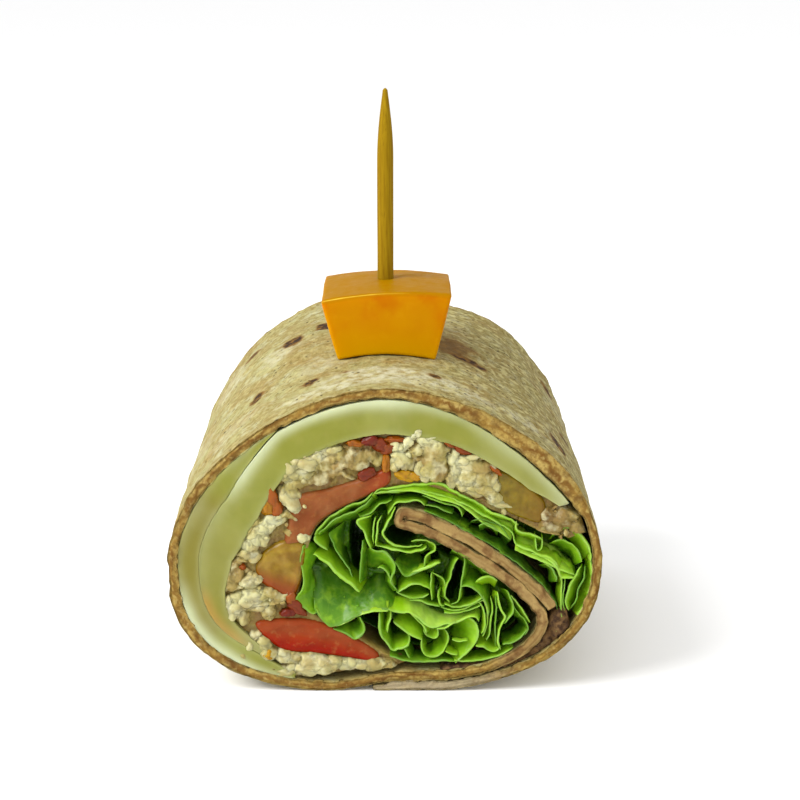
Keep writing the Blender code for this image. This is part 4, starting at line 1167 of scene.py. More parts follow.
for place, turns, points, cells, rows, count in (
    ("top", (30, 145), (4, 12), (300, 64, 10), TOP_LUMPS, 36),
    ("left", (145, 205), (12, 15), (170, 84, 10), LEFT_LUMPS, 24),
    ("low", (205, 274), (15, 21), (210, 60, 10), LOW_LUMPS, 14),
    ("right", (8, 30), (1, 4), (70, 60, 10), RIGHT_LUMPS, 12),
):
    seed, rows = 40 + len(rows), np.array(rows)
    relief = lambda x, z, end: (lumps_here(np.stack([x, z], axis=1), rows, end, seed)[0]
                                + broken(np.stack([x, z], axis=1), end))
    points, faces, s, t, behind = slab(bed(turns, points), cells, (0.0, 0.0, 0.7), BED_FACE, 0.12, relief)
    high, tone_here = lumps_here(points[:, [0, 2]], rows, np.sign(points[:, 1]), seed)
    # hollow: painted shade where the bed lies low between the lumps.
    core = (points, faces, {"tone": tone_here, "hollow": 1 - smoothstep(high / 0.55)})
    heap = joined([core, *lumps_at_both_ends(rows, seed), *loose_crumbs(rows, count, seed)])
    make_piece(f"shredded_chicken_{place}", heap[0], heap[1], chicken.look, f"chicken_{place}",
               heap[2])

# %% [markdown]
# Small bits of pepper and char are caught in the heaps. They are the same lumps, with a finish of their
# own.

# %% Bits between the lumps
# Each bit: x, z, half length, half height, turn in degrees, and how red it is
TOP_BITS = [(-2.0, 35.5, 1.1, 0.55, 12, 1.0), (-0.6, 35.0, 1.0, 0.7, -20, 0.9),
            (0.5, 34.6, 0.8, 0.5, 30, 0.8), (1.4, 35.7, 1.3, 0.35, 0, 0.55),
            (-4.0, 35.2, 0.9, 0.4, 0, 0.45), (0.1, 32.3, 0.4, 1.1, 5, 0.35),
            (2.6, 30.8, 1.0, 0.55, -10, 0.05), (4.0, 30.6, 0.8, 0.5, 0, 0.1),
            (10.2, 34.3, 1.1, 0.35, -25, 0.8), (8.6, 35.1, 0.7, 0.25, -20, 0.7),
            (14.8, 31.4, 0.9, 0.3, -40, 0.5), (-2.4, 31.0, 1.1, 0.6, 20, 0.95)]
LEFT_BITS = [(-15.2, 27.6, 0.9, 1.3, 15, 0.5), (-15.8, 26.4, 0.8, 0.9, 0, 0.25),
             (-14.3, 26.2, 0.6, 0.9, 0, 0.55), (-19.2, 17.8, 0.4, 0.4, 0, 0.7),
             (-12.0, 12.1, 1.2, 0.6, -40, 0.9), (-13.2, 11.2, 0.8, 0.5, 0, 1.0),
             (-12.6, 13.2, 0.6, 0.8, 0, 0.6)]
LOW_BITS = [(-16.0, 5.3, 0.6, 0.55, 0, 0.0)]
BIT_SUNK = {"top": 0.45, "left": 0.45, "low": 0.0}  # how far behind the cut the middle of a bit lies
BIT_SCALE, BIT_HALF_DEPTH = 1.15, 0.5
bits = Finish("pepper_bits", 0.25, Subsurface_Weight=0.3, Subsurface_Radius=(1.0, 0.4, 0.1), Subsurface_Scale=0.001)
red = bits.mark("tone")
bit_colour = bits.mix(bits.range(red, 0.0, 0.5), screen(170, 128, 4), screen(140, 72, 10))
bit_colour = bits.mix(bits.range(red, 0.5, 1.0), bit_colour, screen(98, 24, 4))
bits.colour(bits.mix(bits.range(bits.noise(0.7, 3), 0.5, 0.7, 0, 0.5), bit_colour, screen(98, 52, 8)))
bits.bump(bits.noise(0.5, 3), 0.4, 0.12)
for place, rows in (("top", TOP_BITS), ("left", LEFT_BITS), ("low", LOW_BITS)):
    rows = np.array(rows)
    sets = []
    for end in (-1, 1):
        radii = np.stack([BIT_SCALE * rows[:, 2], BIT_HALF_DEPTH + 0 * rows[:, 2], BIT_SCALE * rows[:, 3]], axis=1)
        y = np.full(len(rows), end * (END_FACE - BIT_SUNK[place]))
        points, faces, which = balls(np.stack([rows[:, 0], y, rows[:, 1]], axis=1), radii,
                                     np.radians(rows[:, 4]), 9, 0.6, 61)
        sets.append((points, faces, {"tone": rows[which, 5]}))
    all_points, all_faces, marks = joined(sets)
    make_piece(f"pepper_bits_{place}", all_points, all_faces, bits.look, f"chicken_{place}", marks)

# %% [markdown]
# ## Lettuce
# A leaf is a sheet well under a millimetre thick. Where the knife went through, its edge is pale and
# catches the light, partly as painted highlight; behind it the blade goes back into the roll, bends up, down or
# sideways, and gets darker, as painted shade that grows with depth. So each leaf is a line on the cut face, a
# second line a few millimetres deeper, and a sheet between the two. The second line is given as it is seen
# from the front, a little above: a millimetre of depth lifts it a little.


# %% A leaf between two lines
LEAF_CELL, LEAF_DEPTH_CELL = 0.32, 0.5  # size of a cell along the leaf and into the roll
LEAF_SET_BACK, LEAF_JOSTLE = 0.35, 1.1  # behind the cut face, and sideways at the far end
CUT_WAVE, RUFFLE, FRILL = 0.35, 0.42, 0.09
LEAF_HALF = 0.27  # half the thickness of a leaf whose thickness is given as 1


def leaf(front, seen, depth, thick, tone, end, seed):
    """A sheet from the line front, on the cut face, to the line seen, depth millimetres behind it. seen is
    either a line or a shift of the front line, and tone one value or several along the leaf. The sheet's middle
    runs straight between the lines, ruffled along its normal by soft fields, and the thickness is laid on both
    sides of it, less at its ends. At the far end, where end is 1, the leaf is mirrored and pushed aside by a
    soft field."""
    front = smooth_through(front, 6)
    length = np.linalg.norm(np.diff(front, axis=0), axis=1).sum()
    cells = (max(8, int(length / LEAF_CELL)), 2, max(5, int(depth / LEAF_DEPTH_CELL) + 3))
    s, v = np.meshgrid(np.arange(cells[0] + 1) / cells[0], (np.arange(cells[2] + 1) / cells[2]) ** 1.25,
                       indexing="ij")
    near = along_line(front, s)
    far = near + np.array(seen) if np.ndim(seen) == 1 else along_line(smooth_through(seen, 6), s)
    far = far - np.array([0, SEEN_RISE * depth])
    if end > 0:
        jostle = field(np.stack([near[..., 0], near[..., 1]], axis=-1), 9.0, 70)
        other = field(np.stack([near[..., 0], near[..., 1]], axis=-1), 9.0, 71)
        near = near + LEAF_JOSTLE * np.stack([jostle, other], axis=-1)
        far = far + LEAF_JOSTLE * np.stack([jostle, other], axis=-1)
    flat = near + (far - near) * v[..., None]
    uneven_cut = CUT_WAVE * field(np.stack([s * length, 0 * s + 3 * seed], axis=-1), 3.0, 72)
    y = -(END_FACE - LEAF_SET_BACK) + uneven_cut * (1 - v) + depth * v
    middle = np.stack([flat[..., 0], y, flat[..., 1]], axis=-1)
    normal = np.cross(np.gradient(middle, axis=0), np.gradient(middle, axis=1))
    normal /= np.linalg.norm(normal, axis=-1, keepdims=True) + 1e-9
    ruffle = field(np.stack([s * length, v * depth * 0.7, 0 * s + 5 * seed], axis=-1), 1.7, 73, 2)
    frill = field(np.stack([s * length, 0 * s + 11 * seed], axis=-1), 0.55, 76, 2)
    middle = middle + normal * (RUFFLE * ruffle * (0.3 + v) + FRILL * frill * (1 - v))[..., None]
    cell, faces = skin_of_block(cells)
    i, j, k = cell.T
    side = j - 1.0
    ends = np.clip(5 * np.minimum(s, 1 - s), 0, 1) ** 0.5
    uneven_thickness = 1 + 0.5 * field(np.stack([s * length, 0 * s + 9 * seed], axis=-1), 1.5, 74)
    width = LEAF_HALF * thick * (0.35 + 0.65 * ends) * uneven_thickness
    points = middle[i, k] + normal[i, k] * (side * width[i, k])[:, None]
    points[:, 1] -= (k == 0) * (side == 0) * 0.12
    deep = (v * depth)[i, k]
    if end > 0:
        points[:, 1] = -points[:, 1]
    tones = np.atleast_1d(tone)
    shade = np.interp(s[i, k], np.linspace(0, 1, len(tones)), tones)
    return points, faces, {"deep": deep, "tone": shade}


def drops(sheet, count, seed):
    """Water drops on a leaf: small balls at random points from 0.8 to 3.2 mm behind its cut edge."""
    points, _, marks = sheet
    random = np.random.default_rng(seed)
    wet = np.flatnonzero((marks["deep"] > 0.8) & (marks["deep"] < 3.2))
    at = random.choice(wet, count, replace=False)
    size = random.uniform(0.07, 0.14, count)
    lift = np.array([0.0, -0.1, 0.0])
    radii = np.stack([size * 1.3, size, size], axis=1)
    ball, faces, _ = balls(points[at] + lift, radii, 0 * size, 4, 0.1, seed)
    flat = np.zeros(len(ball))
    return ball, faces, {"deep": flat + 1.5, "tone": flat + 0.7}


def leaves(rows, seed):
    """All leaves of a list at the near end, and the same ones, shifted a little, at the far end."""
    return [leaf(*row, end, seed + number) for end in (-1, 1) for number, row in enumerate(rows)]


# %% [markdown]
# The leaves are listed from the outside in. Each row holds the front line as x and z in millimetres, the
# line or shift behind it, the depth, the thickness and a tone: 0 is the darkest green, 1 a fresh yellow
# green, and 1.6 the pale green of the stem. The tones partly paint light: the brightest yellow greens paint
# the glow of light through a thin leaf, and the darkest greens paint the shade that a leaf lies in.

# %% Outer leaf: the crest, its bands and the lobe on the right
OUTER_LEAVES = [
    ([(-9.4, 22.3), (-8.9, 23.2), (-7.9, 24.4), (-6.7, 25.4), (-5.0, 26.4), (-3.4, 27.0), (-2.3, 27.6),
      (-1.6, 28.4)],
     (0.8, -0.9), 2.5, 0.45, 0.7),
    ([(-1.7, 28.0), (-0.9, 28.8), (0.2, 29.05), (1.7, 29.2), (3.0, 29.3), (5.0, 29.6), (7.0, 29.8),
      (8.0, 29.4), (9.5, 28.5), (11.0, 27.6), (12.5, 26.8), (14.0, 25.7), (15.5, 25.2), (17.0, 24.5),
      (17.8, 23.8)],
     (0.0, -0.75), 2.0, 0.5, 0.95),
    ([(-8.9, 22.6), (-7.8, 23.7), (-6.5, 24.8), (-5.0, 25.5), (-3.6, 26.0), (-2.4, 26.9), (-1.7, 27.9)],
     (0.7, -1.2), 4, 0.35, 0.35),
    ([(-1.5, 28.3), (0.0, 28.5), (1.6, 28.4), (3.0, 28.6), (6.0, 28.3), (8.5, 27.6), (10.0, 27.0),
      (11.5, 26.2), (13.0, 25.2), (14.5, 24.4), (16.0, 23.5), (17.0, 22.8), (17.2, 22.0)],
     (0.1, 0.75), 2.0, 0.45, 0.85),
    ([(0.4, 25.2), (0.9, 26.2), (1.6, 27.0), (2.8, 27.2), (3.9, 27.3), (4.6, 27.2), (5.2, 26.5)],
     [(0.2, 26.6), (0.5, 27.6), (1.5, 28.2), (2.8, 28.3), (4.0, 28.2), (5.0, 28.0), (6.2, 27.6)], 3.5, 0.45,
      0.8),
    ([(-3.4, 24.9), (-2.0, 25.3), (-1.1, 26.3), (-0.5, 26.8), (0.2, 27.0), (0.9, 27.3)],
     [(-4.4, 26.0), (-2.6, 26.7), (-1.5, 27.6), (-0.6, 28.1), (0.4, 28.1), (1.3, 28.2)], 3.5, 0.4, 0.45),
    ([(5.0, 28.0), (6.3, 27.4), (7.5, 27.0), (8.5, 26.7), (9.6, 26.4), (10.1, 25.8), (10.3, 25.0)],
     (0.6, 0.75), 3.0, 0.4, 0.55),
    ([(5.4, 26.6), (6.6, 26.4), (7.8, 25.9), (9.0, 25.4)],
     (0.3, 0.5), 2.5, 0.35, 0.35),
    ([(12.5, 23.7), (13.5, 24.1), (14.5, 23.5), (15.0, 23.0)],
     (0.3, -0.9), 3.0, 0.35, 0.35),
    ([(11.6, 24.3), (12.8, 24.7), (14.0, 24.2), (15.2, 23.8), (16.2, 22.6), (16.8, 21.6)],
     (-0.5, -1.0), 4, 0.3, 0.15),
    ([(-1.2, 28.1), (2.0, 28.7), (4.7, 28.4), (7.3, 27.5), (10.0, 26.6), (13.2, 24.0), (15.2, 22.8),
      (16.9, 21.6)],
     [(-1.2, 28.9), (2.0, 29.7), (4.7, 29.9), (7.3, 29.3), (10.8, 27.9), (13.6, 25.6), (15.6, 24.6),
      (17.4, 24.0)], 1.6, 0.45, (0.8, 1.0, 1.25, 1.35)),
    # the lobe on the right
    ([(17.4, 20.3), (19.3, 19.4), (21.4, 18.5), (23.4, 17.5), (25.6, 16.6)],
     [(17.9, 23.6), (19.4, 22.5), (21.2, 21.2), (23.0, 20.3), (25.2, 18.8)], 3.0, 0.45, (1.2, 1.45, 1.3)),
    ([(17.2, 22.0), (17.5, 21.0), (18.5, 20.5), (20.0, 20.0), (21.5, 19.3), (22.5, 18.8), (23.2, 17.8)],
     [(16.9, 23.4), (17.6, 22.8), (18.7, 21.9), (19.7, 21.3), (21.0, 20.8), (22.4, 20.4), (23.8, 20.2)],
      3.5, 0.55, 1.15),
    ([(17.5, 24.4), (17.6, 23.3), (18.5, 22.7), (20.0, 22.2), (21.0, 21.8)],
     (-0.2, -0.9), 2.5, 0.5, 1.0),
    ([(20.1, 21.9), (20.3, 20.5), (20.6, 20.1), (21.0, 20.6), (21.0, 21.8)],
     (0.0, 0.9), 2.0, 0.4, 0.75),
    ([(19.7, 19.8), (21.4, 19.2), (22.5, 18.5), (23.2, 17.5), (23.6, 16.4), (24.6, 16.3), (25.6, 16.2)],
     [(20.3, 20.4), (21.9, 20.2), (23.1, 19.7), (24.1, 19.0), (24.9, 18.3), (25.4, 17.7), (25.9, 17.2)],
      2.0, 0.6, 1.15),
    ([(22.6, 21.4), (23.6, 21.7), (24.6, 21.3), (25.4, 20.7), (26.1, 19.8), (26.4, 18.6)],
     (-0.9, -1.2), 4, 0.35, 0.6),
    ([(22.8, 23.0), (24.0, 23.5), (25.2, 23.3), (26.2, 22.4), (27.0, 21.2), (27.5, 19.8)],
     (-0.8, -1.3), 2.5, 0.45, 0.85),
    ([(25.9, 22.9), (26.5, 22.0), (27.2, 21.0), (27.6, 20.0), (27.7, 18.6)],
     (-0.4, 0.5), 1.5, 0.5, 1.25),
    ([(27.6, 19.0), (27.8, 16.0), (27.5, 13.6), (26.9, 12.2), (26.0, 10.9)],
     (-0.8, 0.7), 2.5, 0.6, 1.0),
    ([(26.3, 17.9), (25.3, 16.0), (24.6, 14.3), (24.3, 12.8), (24.8, 11.6)],
     [(27.0, 18.2), (26.8, 16.6), (26.1, 14.6), (25.8, 13.2), (25.4, 12.0)], 2.0, 0.5, 0.8),
    ([(27.0, 17.9), (26.7, 16.3), (26.0, 14.5), (25.7, 13.0), (25.2, 11.9)],
     (0.7, 0.2), 3.5, 0.35, 0.2),
    ([(23.2, 17.6), (23.7, 16.0), (23.8, 14.0), (23.8, 12.0), (23.9, 10.5), (23.6, 9.0), (23.2, 8.5)],
     (-0.6, 0.3), 2.5, 0.5, 0.95),
    ([(24.2, 16.2), (24.1, 14.6), (24.0, 13.0), (24.2, 11.6)],
     (0.5, 0.2), 3.0, 0.35, 0.4),
    ([(21.5, 18.4), (22.4, 17.7), (23.0, 16.6), (23.1, 15.8)],
     (-0.7, -0.4), 2.5, 0.4, 0.35),
    # dark leaves along the upper side of the folded bread: their dark tone is painted shade
    ([(5.2, 25.8), (7.0, 25.1), (9.0, 24.1), (11.0, 23.0)],
     (0.5, 1.2), 3.5, 0.3, 0.25),
    ([(9.6, 23.8), (12.0, 22.3), (14.4, 20.8), (16.6, 19.2)],
     (0.7, 1.1), 3.5, 0.3, 0.1),
    ([(15.4, 20.1), (17.6, 18.5), (19.8, 16.5), (21.2, 15.2)],
     (0.7, 0.9), 3.8, 0.3, 0.0),
    ([(19.9, 16.5), (21.6, 14.8), (22.8, 13.0), (23.3, 11.6)],
     (0.5, 0.7), 3.8, 0.3, 0.0),
]

# %% The heart: its left side
LEFT_LEAVES = [
    ([(-9.4, 22.3), (-9.5, 21.6), (-8.8, 21.0), (-7.7, 20.2)],
     [(-8.6, 23.2), (-7.9, 23.0), (-7.5, 22.2), (-7.5, 20.9)], 2.5, 0.45, 0.8),
    ([(-7.5, 22.7), (-7.3, 22.0), (-6.4, 20.1), (-5.0, 17.6), (-4.4, 16.4)],
     [(-4.8, 24.8), (-5.1, 23.4), (-5.5, 22.0), (-5.4, 20.3), (-4.9, 18.6), (-4.0, 16.6)], 4, 0.35, 0.22),
    ([(-9.6, 19.7), (-9.1, 19.4), (-7.7, 18.4), (-6.5, 17.0), (-5.0, 15.7), (-3.5, 14.2)],
     (1.1, 1.5), 3.5, 0.7, 0.95),
    ([(-10.9, 20.9), (-11.4, 19.0), (-11.2, 17.5), (-11.0, 15.5), (-11.5, 14.2), (-12.1, 13.3),
      (-11.8, 12.6), (-10.8, 11.7), (-10.0, 11.1), (-9.4, 11.3)],
     [(-9.6, 21.4), (-9.2, 19.8), (-9.9, 17.8), (-9.6, 16.0), (-9.2, 14.6), (-8.9, 13.6), (-8.7, 12.9),
      (-8.5, 12.3), (-8.4, 12.0), (-8.3, 11.8)], 2.5, 0.5, 0.55),
    ([(-9.5, 11.6), (-8.9, 10.6), (-7.8, 9.5), (-7.2, 9.3), (-6.0, 9.6), (-4.9, 10.1), (-3.9, 10.7),
      (-3.0, 11.1), (-2.0, 11.5), (-1.0, 11.6), (0.3, 11.7), (0.9, 11.6), (2.0, 11.2), (3.2, 11.4)],
     [(-10.3, 17.3), (-9.2, 18.9), (-7.7, 18.0), (-6.5, 16.7), (-5.0, 15.4), (-3.8, 15.2), (-2.4, 16.0),
      (-1.0, 16.9), (0.1, 16.6), (0.7, 15.4), (1.3, 14.5), (2.2, 14.0), (3.0, 13.9), (3.8, 13.8)], 4, 0.5,
      0.22),
    ([(-9.3, 11.5), (-8.7, 10.5), (-7.7, 9.4), (-7.1, 9.2), (-6.0, 9.5), (-4.9, 10.0), (-3.9, 10.6),
      (-3.0, 11.0), (-2.0, 11.4), (-1.0, 11.5), (0.4, 11.6)],
     [(-9.6, 12.2), (-8.8, 11.8), (-7.7, 11.1), (-7.0, 10.9), (-5.9, 11.0), (-4.8, 11.3), (-3.8, 11.7),
      (-2.9, 12.1), (-1.9, 12.5), (-0.9, 12.7), (0.5, 12.8)], 1.0, 0.4, (0.9, 1.35, 1.35, 1.1, 1.2)),
    ([(-1.9, 25.0), (-3.4, 24.7), (-3.8, 24.2), (-3.3, 23.5), (-2.9, 23.1), (-2.6, 22.3), (-2.2, 21.2),
      (-1.9, 20.4)],
     [(-1.0, 25.8), (-1.6, 25.2), (-1.7, 24.4), (-1.6, 23.5), (-1.6, 22.7), (-1.6, 22.0), (-1.5, 21.3),
      (-1.3, 20.6)], 2.5, 0.5, 0.85),
    ([(-1.9, 20.5), (-1.3, 20.1), (0.0, 20.0), (0.6, 19.5), (1.1, 18.7), (1.35, 18.0), (1.15, 17.0),
      (0.7, 15.9), (1.0, 15.1), (1.7, 14.4)],
     [(-2.8, 20.6), (-3.0, 19.0), (-2.7, 17.6), (-1.6, 17.6), (-0.6, 17.8), (0.0, 17.2), (0.1, 16.4),
      (0.1, 15.6), (0.5, 14.8), (1.2, 14.1)], 3.5, 0.5, 0.45),
    ([(-3.0, 21.6), (-3.2, 19.5), (-3.4, 17.5), (-3.5, 15.6)],
     (1.2, 0.5), 4, 0.35, 0.3),
    ([(-1.35, 24.9), (-1.5, 23.4), (-1.65, 22.2), (-1.6, 21.1)],
     (0.35, 0.3), 2.5, 0.4, 0.85),
    ([(-0.5, 25.0), (-0.95, 24.1), (-1.1, 22.6), (-1.2, 21.2), (-0.9, 20.8)],
     (0.3, 0.3), 2.5, 0.4, 0.9),
    ([(1.4, 26.4), (1.2, 25.8), (0.9, 25.0), (0.3, 24.0), (-0.1, 23.2), (-0.3, 22.6), (0.0, 22.0),
      (0.7, 21.3), (1.5, 20.9), (2.5, 20.7), (3.5, 20.7), (4.5, 20.8), (5.0, 21.1)],
     [(0.9, 26.8), (0.5, 26.0), (0.2, 25.2), (-0.4, 24.2), (-0.8, 23.2), (-0.9, 22.4), (-0.5, 21.6),
      (0.3, 20.9), (1.4, 20.5), (2.5, 20.4), (3.5, 20.4), (4.5, 20.5), (5.2, 20.7)], 2.5, 0.45, 0.85),
    ([(-1.3, 20.95), (-0.3, 20.6), (1.0, 20.3), (2.5, 20.1), (3.7, 20.05), (4.9, 20.2), (5.6, 20.6)],
     (0.0, 0.45), 1.5, 0.45, 1.0),
    ([(-1.0, 17.7), (-0.5, 17.8), (0.1, 17.4), (0.5, 16.7), (0.7, 15.8), (1.1, 14.9)],
     (0.5, 0.3), 2.5, 0.45, 0.6),
]

# %% The heart: its middle and the pale stem
MIDDLE_LEAVES = [
    ([(1.8, 14.3), (2.7, 14.9), (3.5, 15.3), (4.4, 15.4), (5.3, 15.1), (6.0, 14.6)],
     [(1.4, 15.2), (2.4, 16.2), (3.3, 16.6), (4.3, 16.8), (5.4, 16.6), (6.3, 15.8)], 2.5, 0.45, 0.75),
    ([(1.5, 14.2), (2.5, 13.7), (3.5, 13.3), (4.3, 13.2), (5.2, 13.4), (5.9, 13.9)],
     [(1.9, 14.4), (2.8, 15.0), (3.6, 15.4), (4.4, 15.5), (5.2, 15.2), (5.9, 14.6)], 4, 0.45, 0.6),
    ([(3.0, 16.6), (4.2, 17.1), (5.0, 17.6), (6.2, 18.1), (7.4, 18.5)],
     (0.0, 0.5), 1.5, 0.75, 1.15),
    ([(1.4, 18.5), (2.1, 17.2), (2.8, 16.5), (4.0, 16.9), (5.2, 17.4)],
     [(2.0, 19.8), (3.0, 19.7), (3.8, 19.6), (4.6, 19.4), (5.2, 19.0)], 4, 0.4, 0.2),
    ([(0.4, 11.7), (1.5, 11.35), (2.4, 11.25), (3.3, 11.3), (4.6, 10.3), (5.3, 9.6), (6.2, 9.1), (7.0, 9.2),
      (8.0, 9.5), (9.3, 9.6), (10.5, 10.2), (11.3, 10.6), (12.2, 10.6), (12.7, 10.0)],
     [(0.4, 13.0), (1.4, 13.35), (2.4, 13.4), (3.4, 13.3), (4.4, 12.85), (5.3, 12.2), (6.3, 11.7),
      (7.3, 11.3), (8.2, 11.0), (9.2, 10.95), (10.3, 11.25), (11.3, 11.6), (12.3, 11.8), (13.0, 11.2)], 2.2,
      0.55, (0.7, 1.1, 1.5, 1.6, 1.6, 1.5, 1.3, 1.2)),
    ([(7.0, 8.9), (7.6, 9.0), (8.2, 9.0), (9.0, 9.5), (9.6, 9.9)],
     (0.0, 0.35), 1.2, 0.4, 1.6),
    ([(8.0, 11.3), (9.0, 11.15), (10.0, 11.2), (12.0, 11.8), (13.0, 12.3)],
     (0.0, 0.7), 1.6, 0.35, 0.75),
    ([(7.5, 12.0), (9.0, 11.6), (11.0, 11.9), (12.6, 12.7), (13.4, 13.2)],
     (0.0, 0.6), 1.8, 0.35, 0.85),
    ([(8.0, 12.4), (9.5, 12.1), (11.0, 12.3), (12.5, 12.9), (13.3, 13.6)],
     (-0.1, 0.8), 2.5, 0.35, 0.8),
    ([(9.8, 19.2), (9.2, 18.0), (8.8, 16.5), (8.2, 14.8), (8.1, 13.6), (8.7, 12.8)],
     (-0.8, 0.2), 3.0, 0.4, 0.6),
    ([(10.5, 19.4), (10.7, 18.2), (10.35, 16.0), (10.1, 14.0), (9.8, 12.9), (8.9, 12.5)],
     (0.7, 0.4), 3.5, 0.4, 0.5),
    ([(10.2, 15.1), (11.3, 15.1), (12.3, 14.5), (13.2, 13.4), (13.8, 12.0), (13.9, 10.4)],
     [(10.7, 17.6), (11.9, 17.7), (13.0, 17.0), (14.1, 15.6), (14.7, 13.6), (14.6, 11.4)], 4, 0.4, 0.45),
    ([(12.3, 15.6), (13.3, 16.3), (14.3, 16.4), (15.1, 15.9)],
     (-0.1, -0.9), 2.0, 0.5, 1.1),
    ([(9.0, 20.4), (11.0, 19.3), (12.7, 18.3), (13.2, 17.5), (14.2, 16.8)],
     (-0.2, -0.8), 3.0, 0.45, 0.6),
    ([(3.5, 21.4), (5.0, 21.7), (6.4, 21.3), (6.8, 20.7), (6.6, 20.1), (5.8, 19.7), (5.3, 18.8),
      (5.2, 17.9)],
     [(3.9, 21.0), (5.2, 21.2), (6.0, 21.0), (6.4, 20.6), (6.6, 20.2), (6.4, 19.6), (6.2, 18.8),
      (6.1, 18.2)], 2.0, 0.45, 0.8),
    ([(6.3, 17.1), (6.2, 14.8), (6.35, 13.0)],
     (0.6, 0.3), 2.0, 0.4, 0.8),
    ([(6.4, 17.0), (7.6, 16.3), (8.1, 15.0), (7.9, 13.4)],
     (-0.7, -0.2), 2.5, 0.4, 0.7),
    ([(7.2, 14.6), (7.2, 13.2), (7.4, 12.3), (8.0, 12.2)],
     (0.4, 0.5), 2.0, 0.35, 0.75),
    ([(3.3, 12.9), (4.6, 12.9), (6.0, 12.5), (7.4, 12.2)],
     (0.2, 1.3), 3.5, 0.4, 0.6),
]

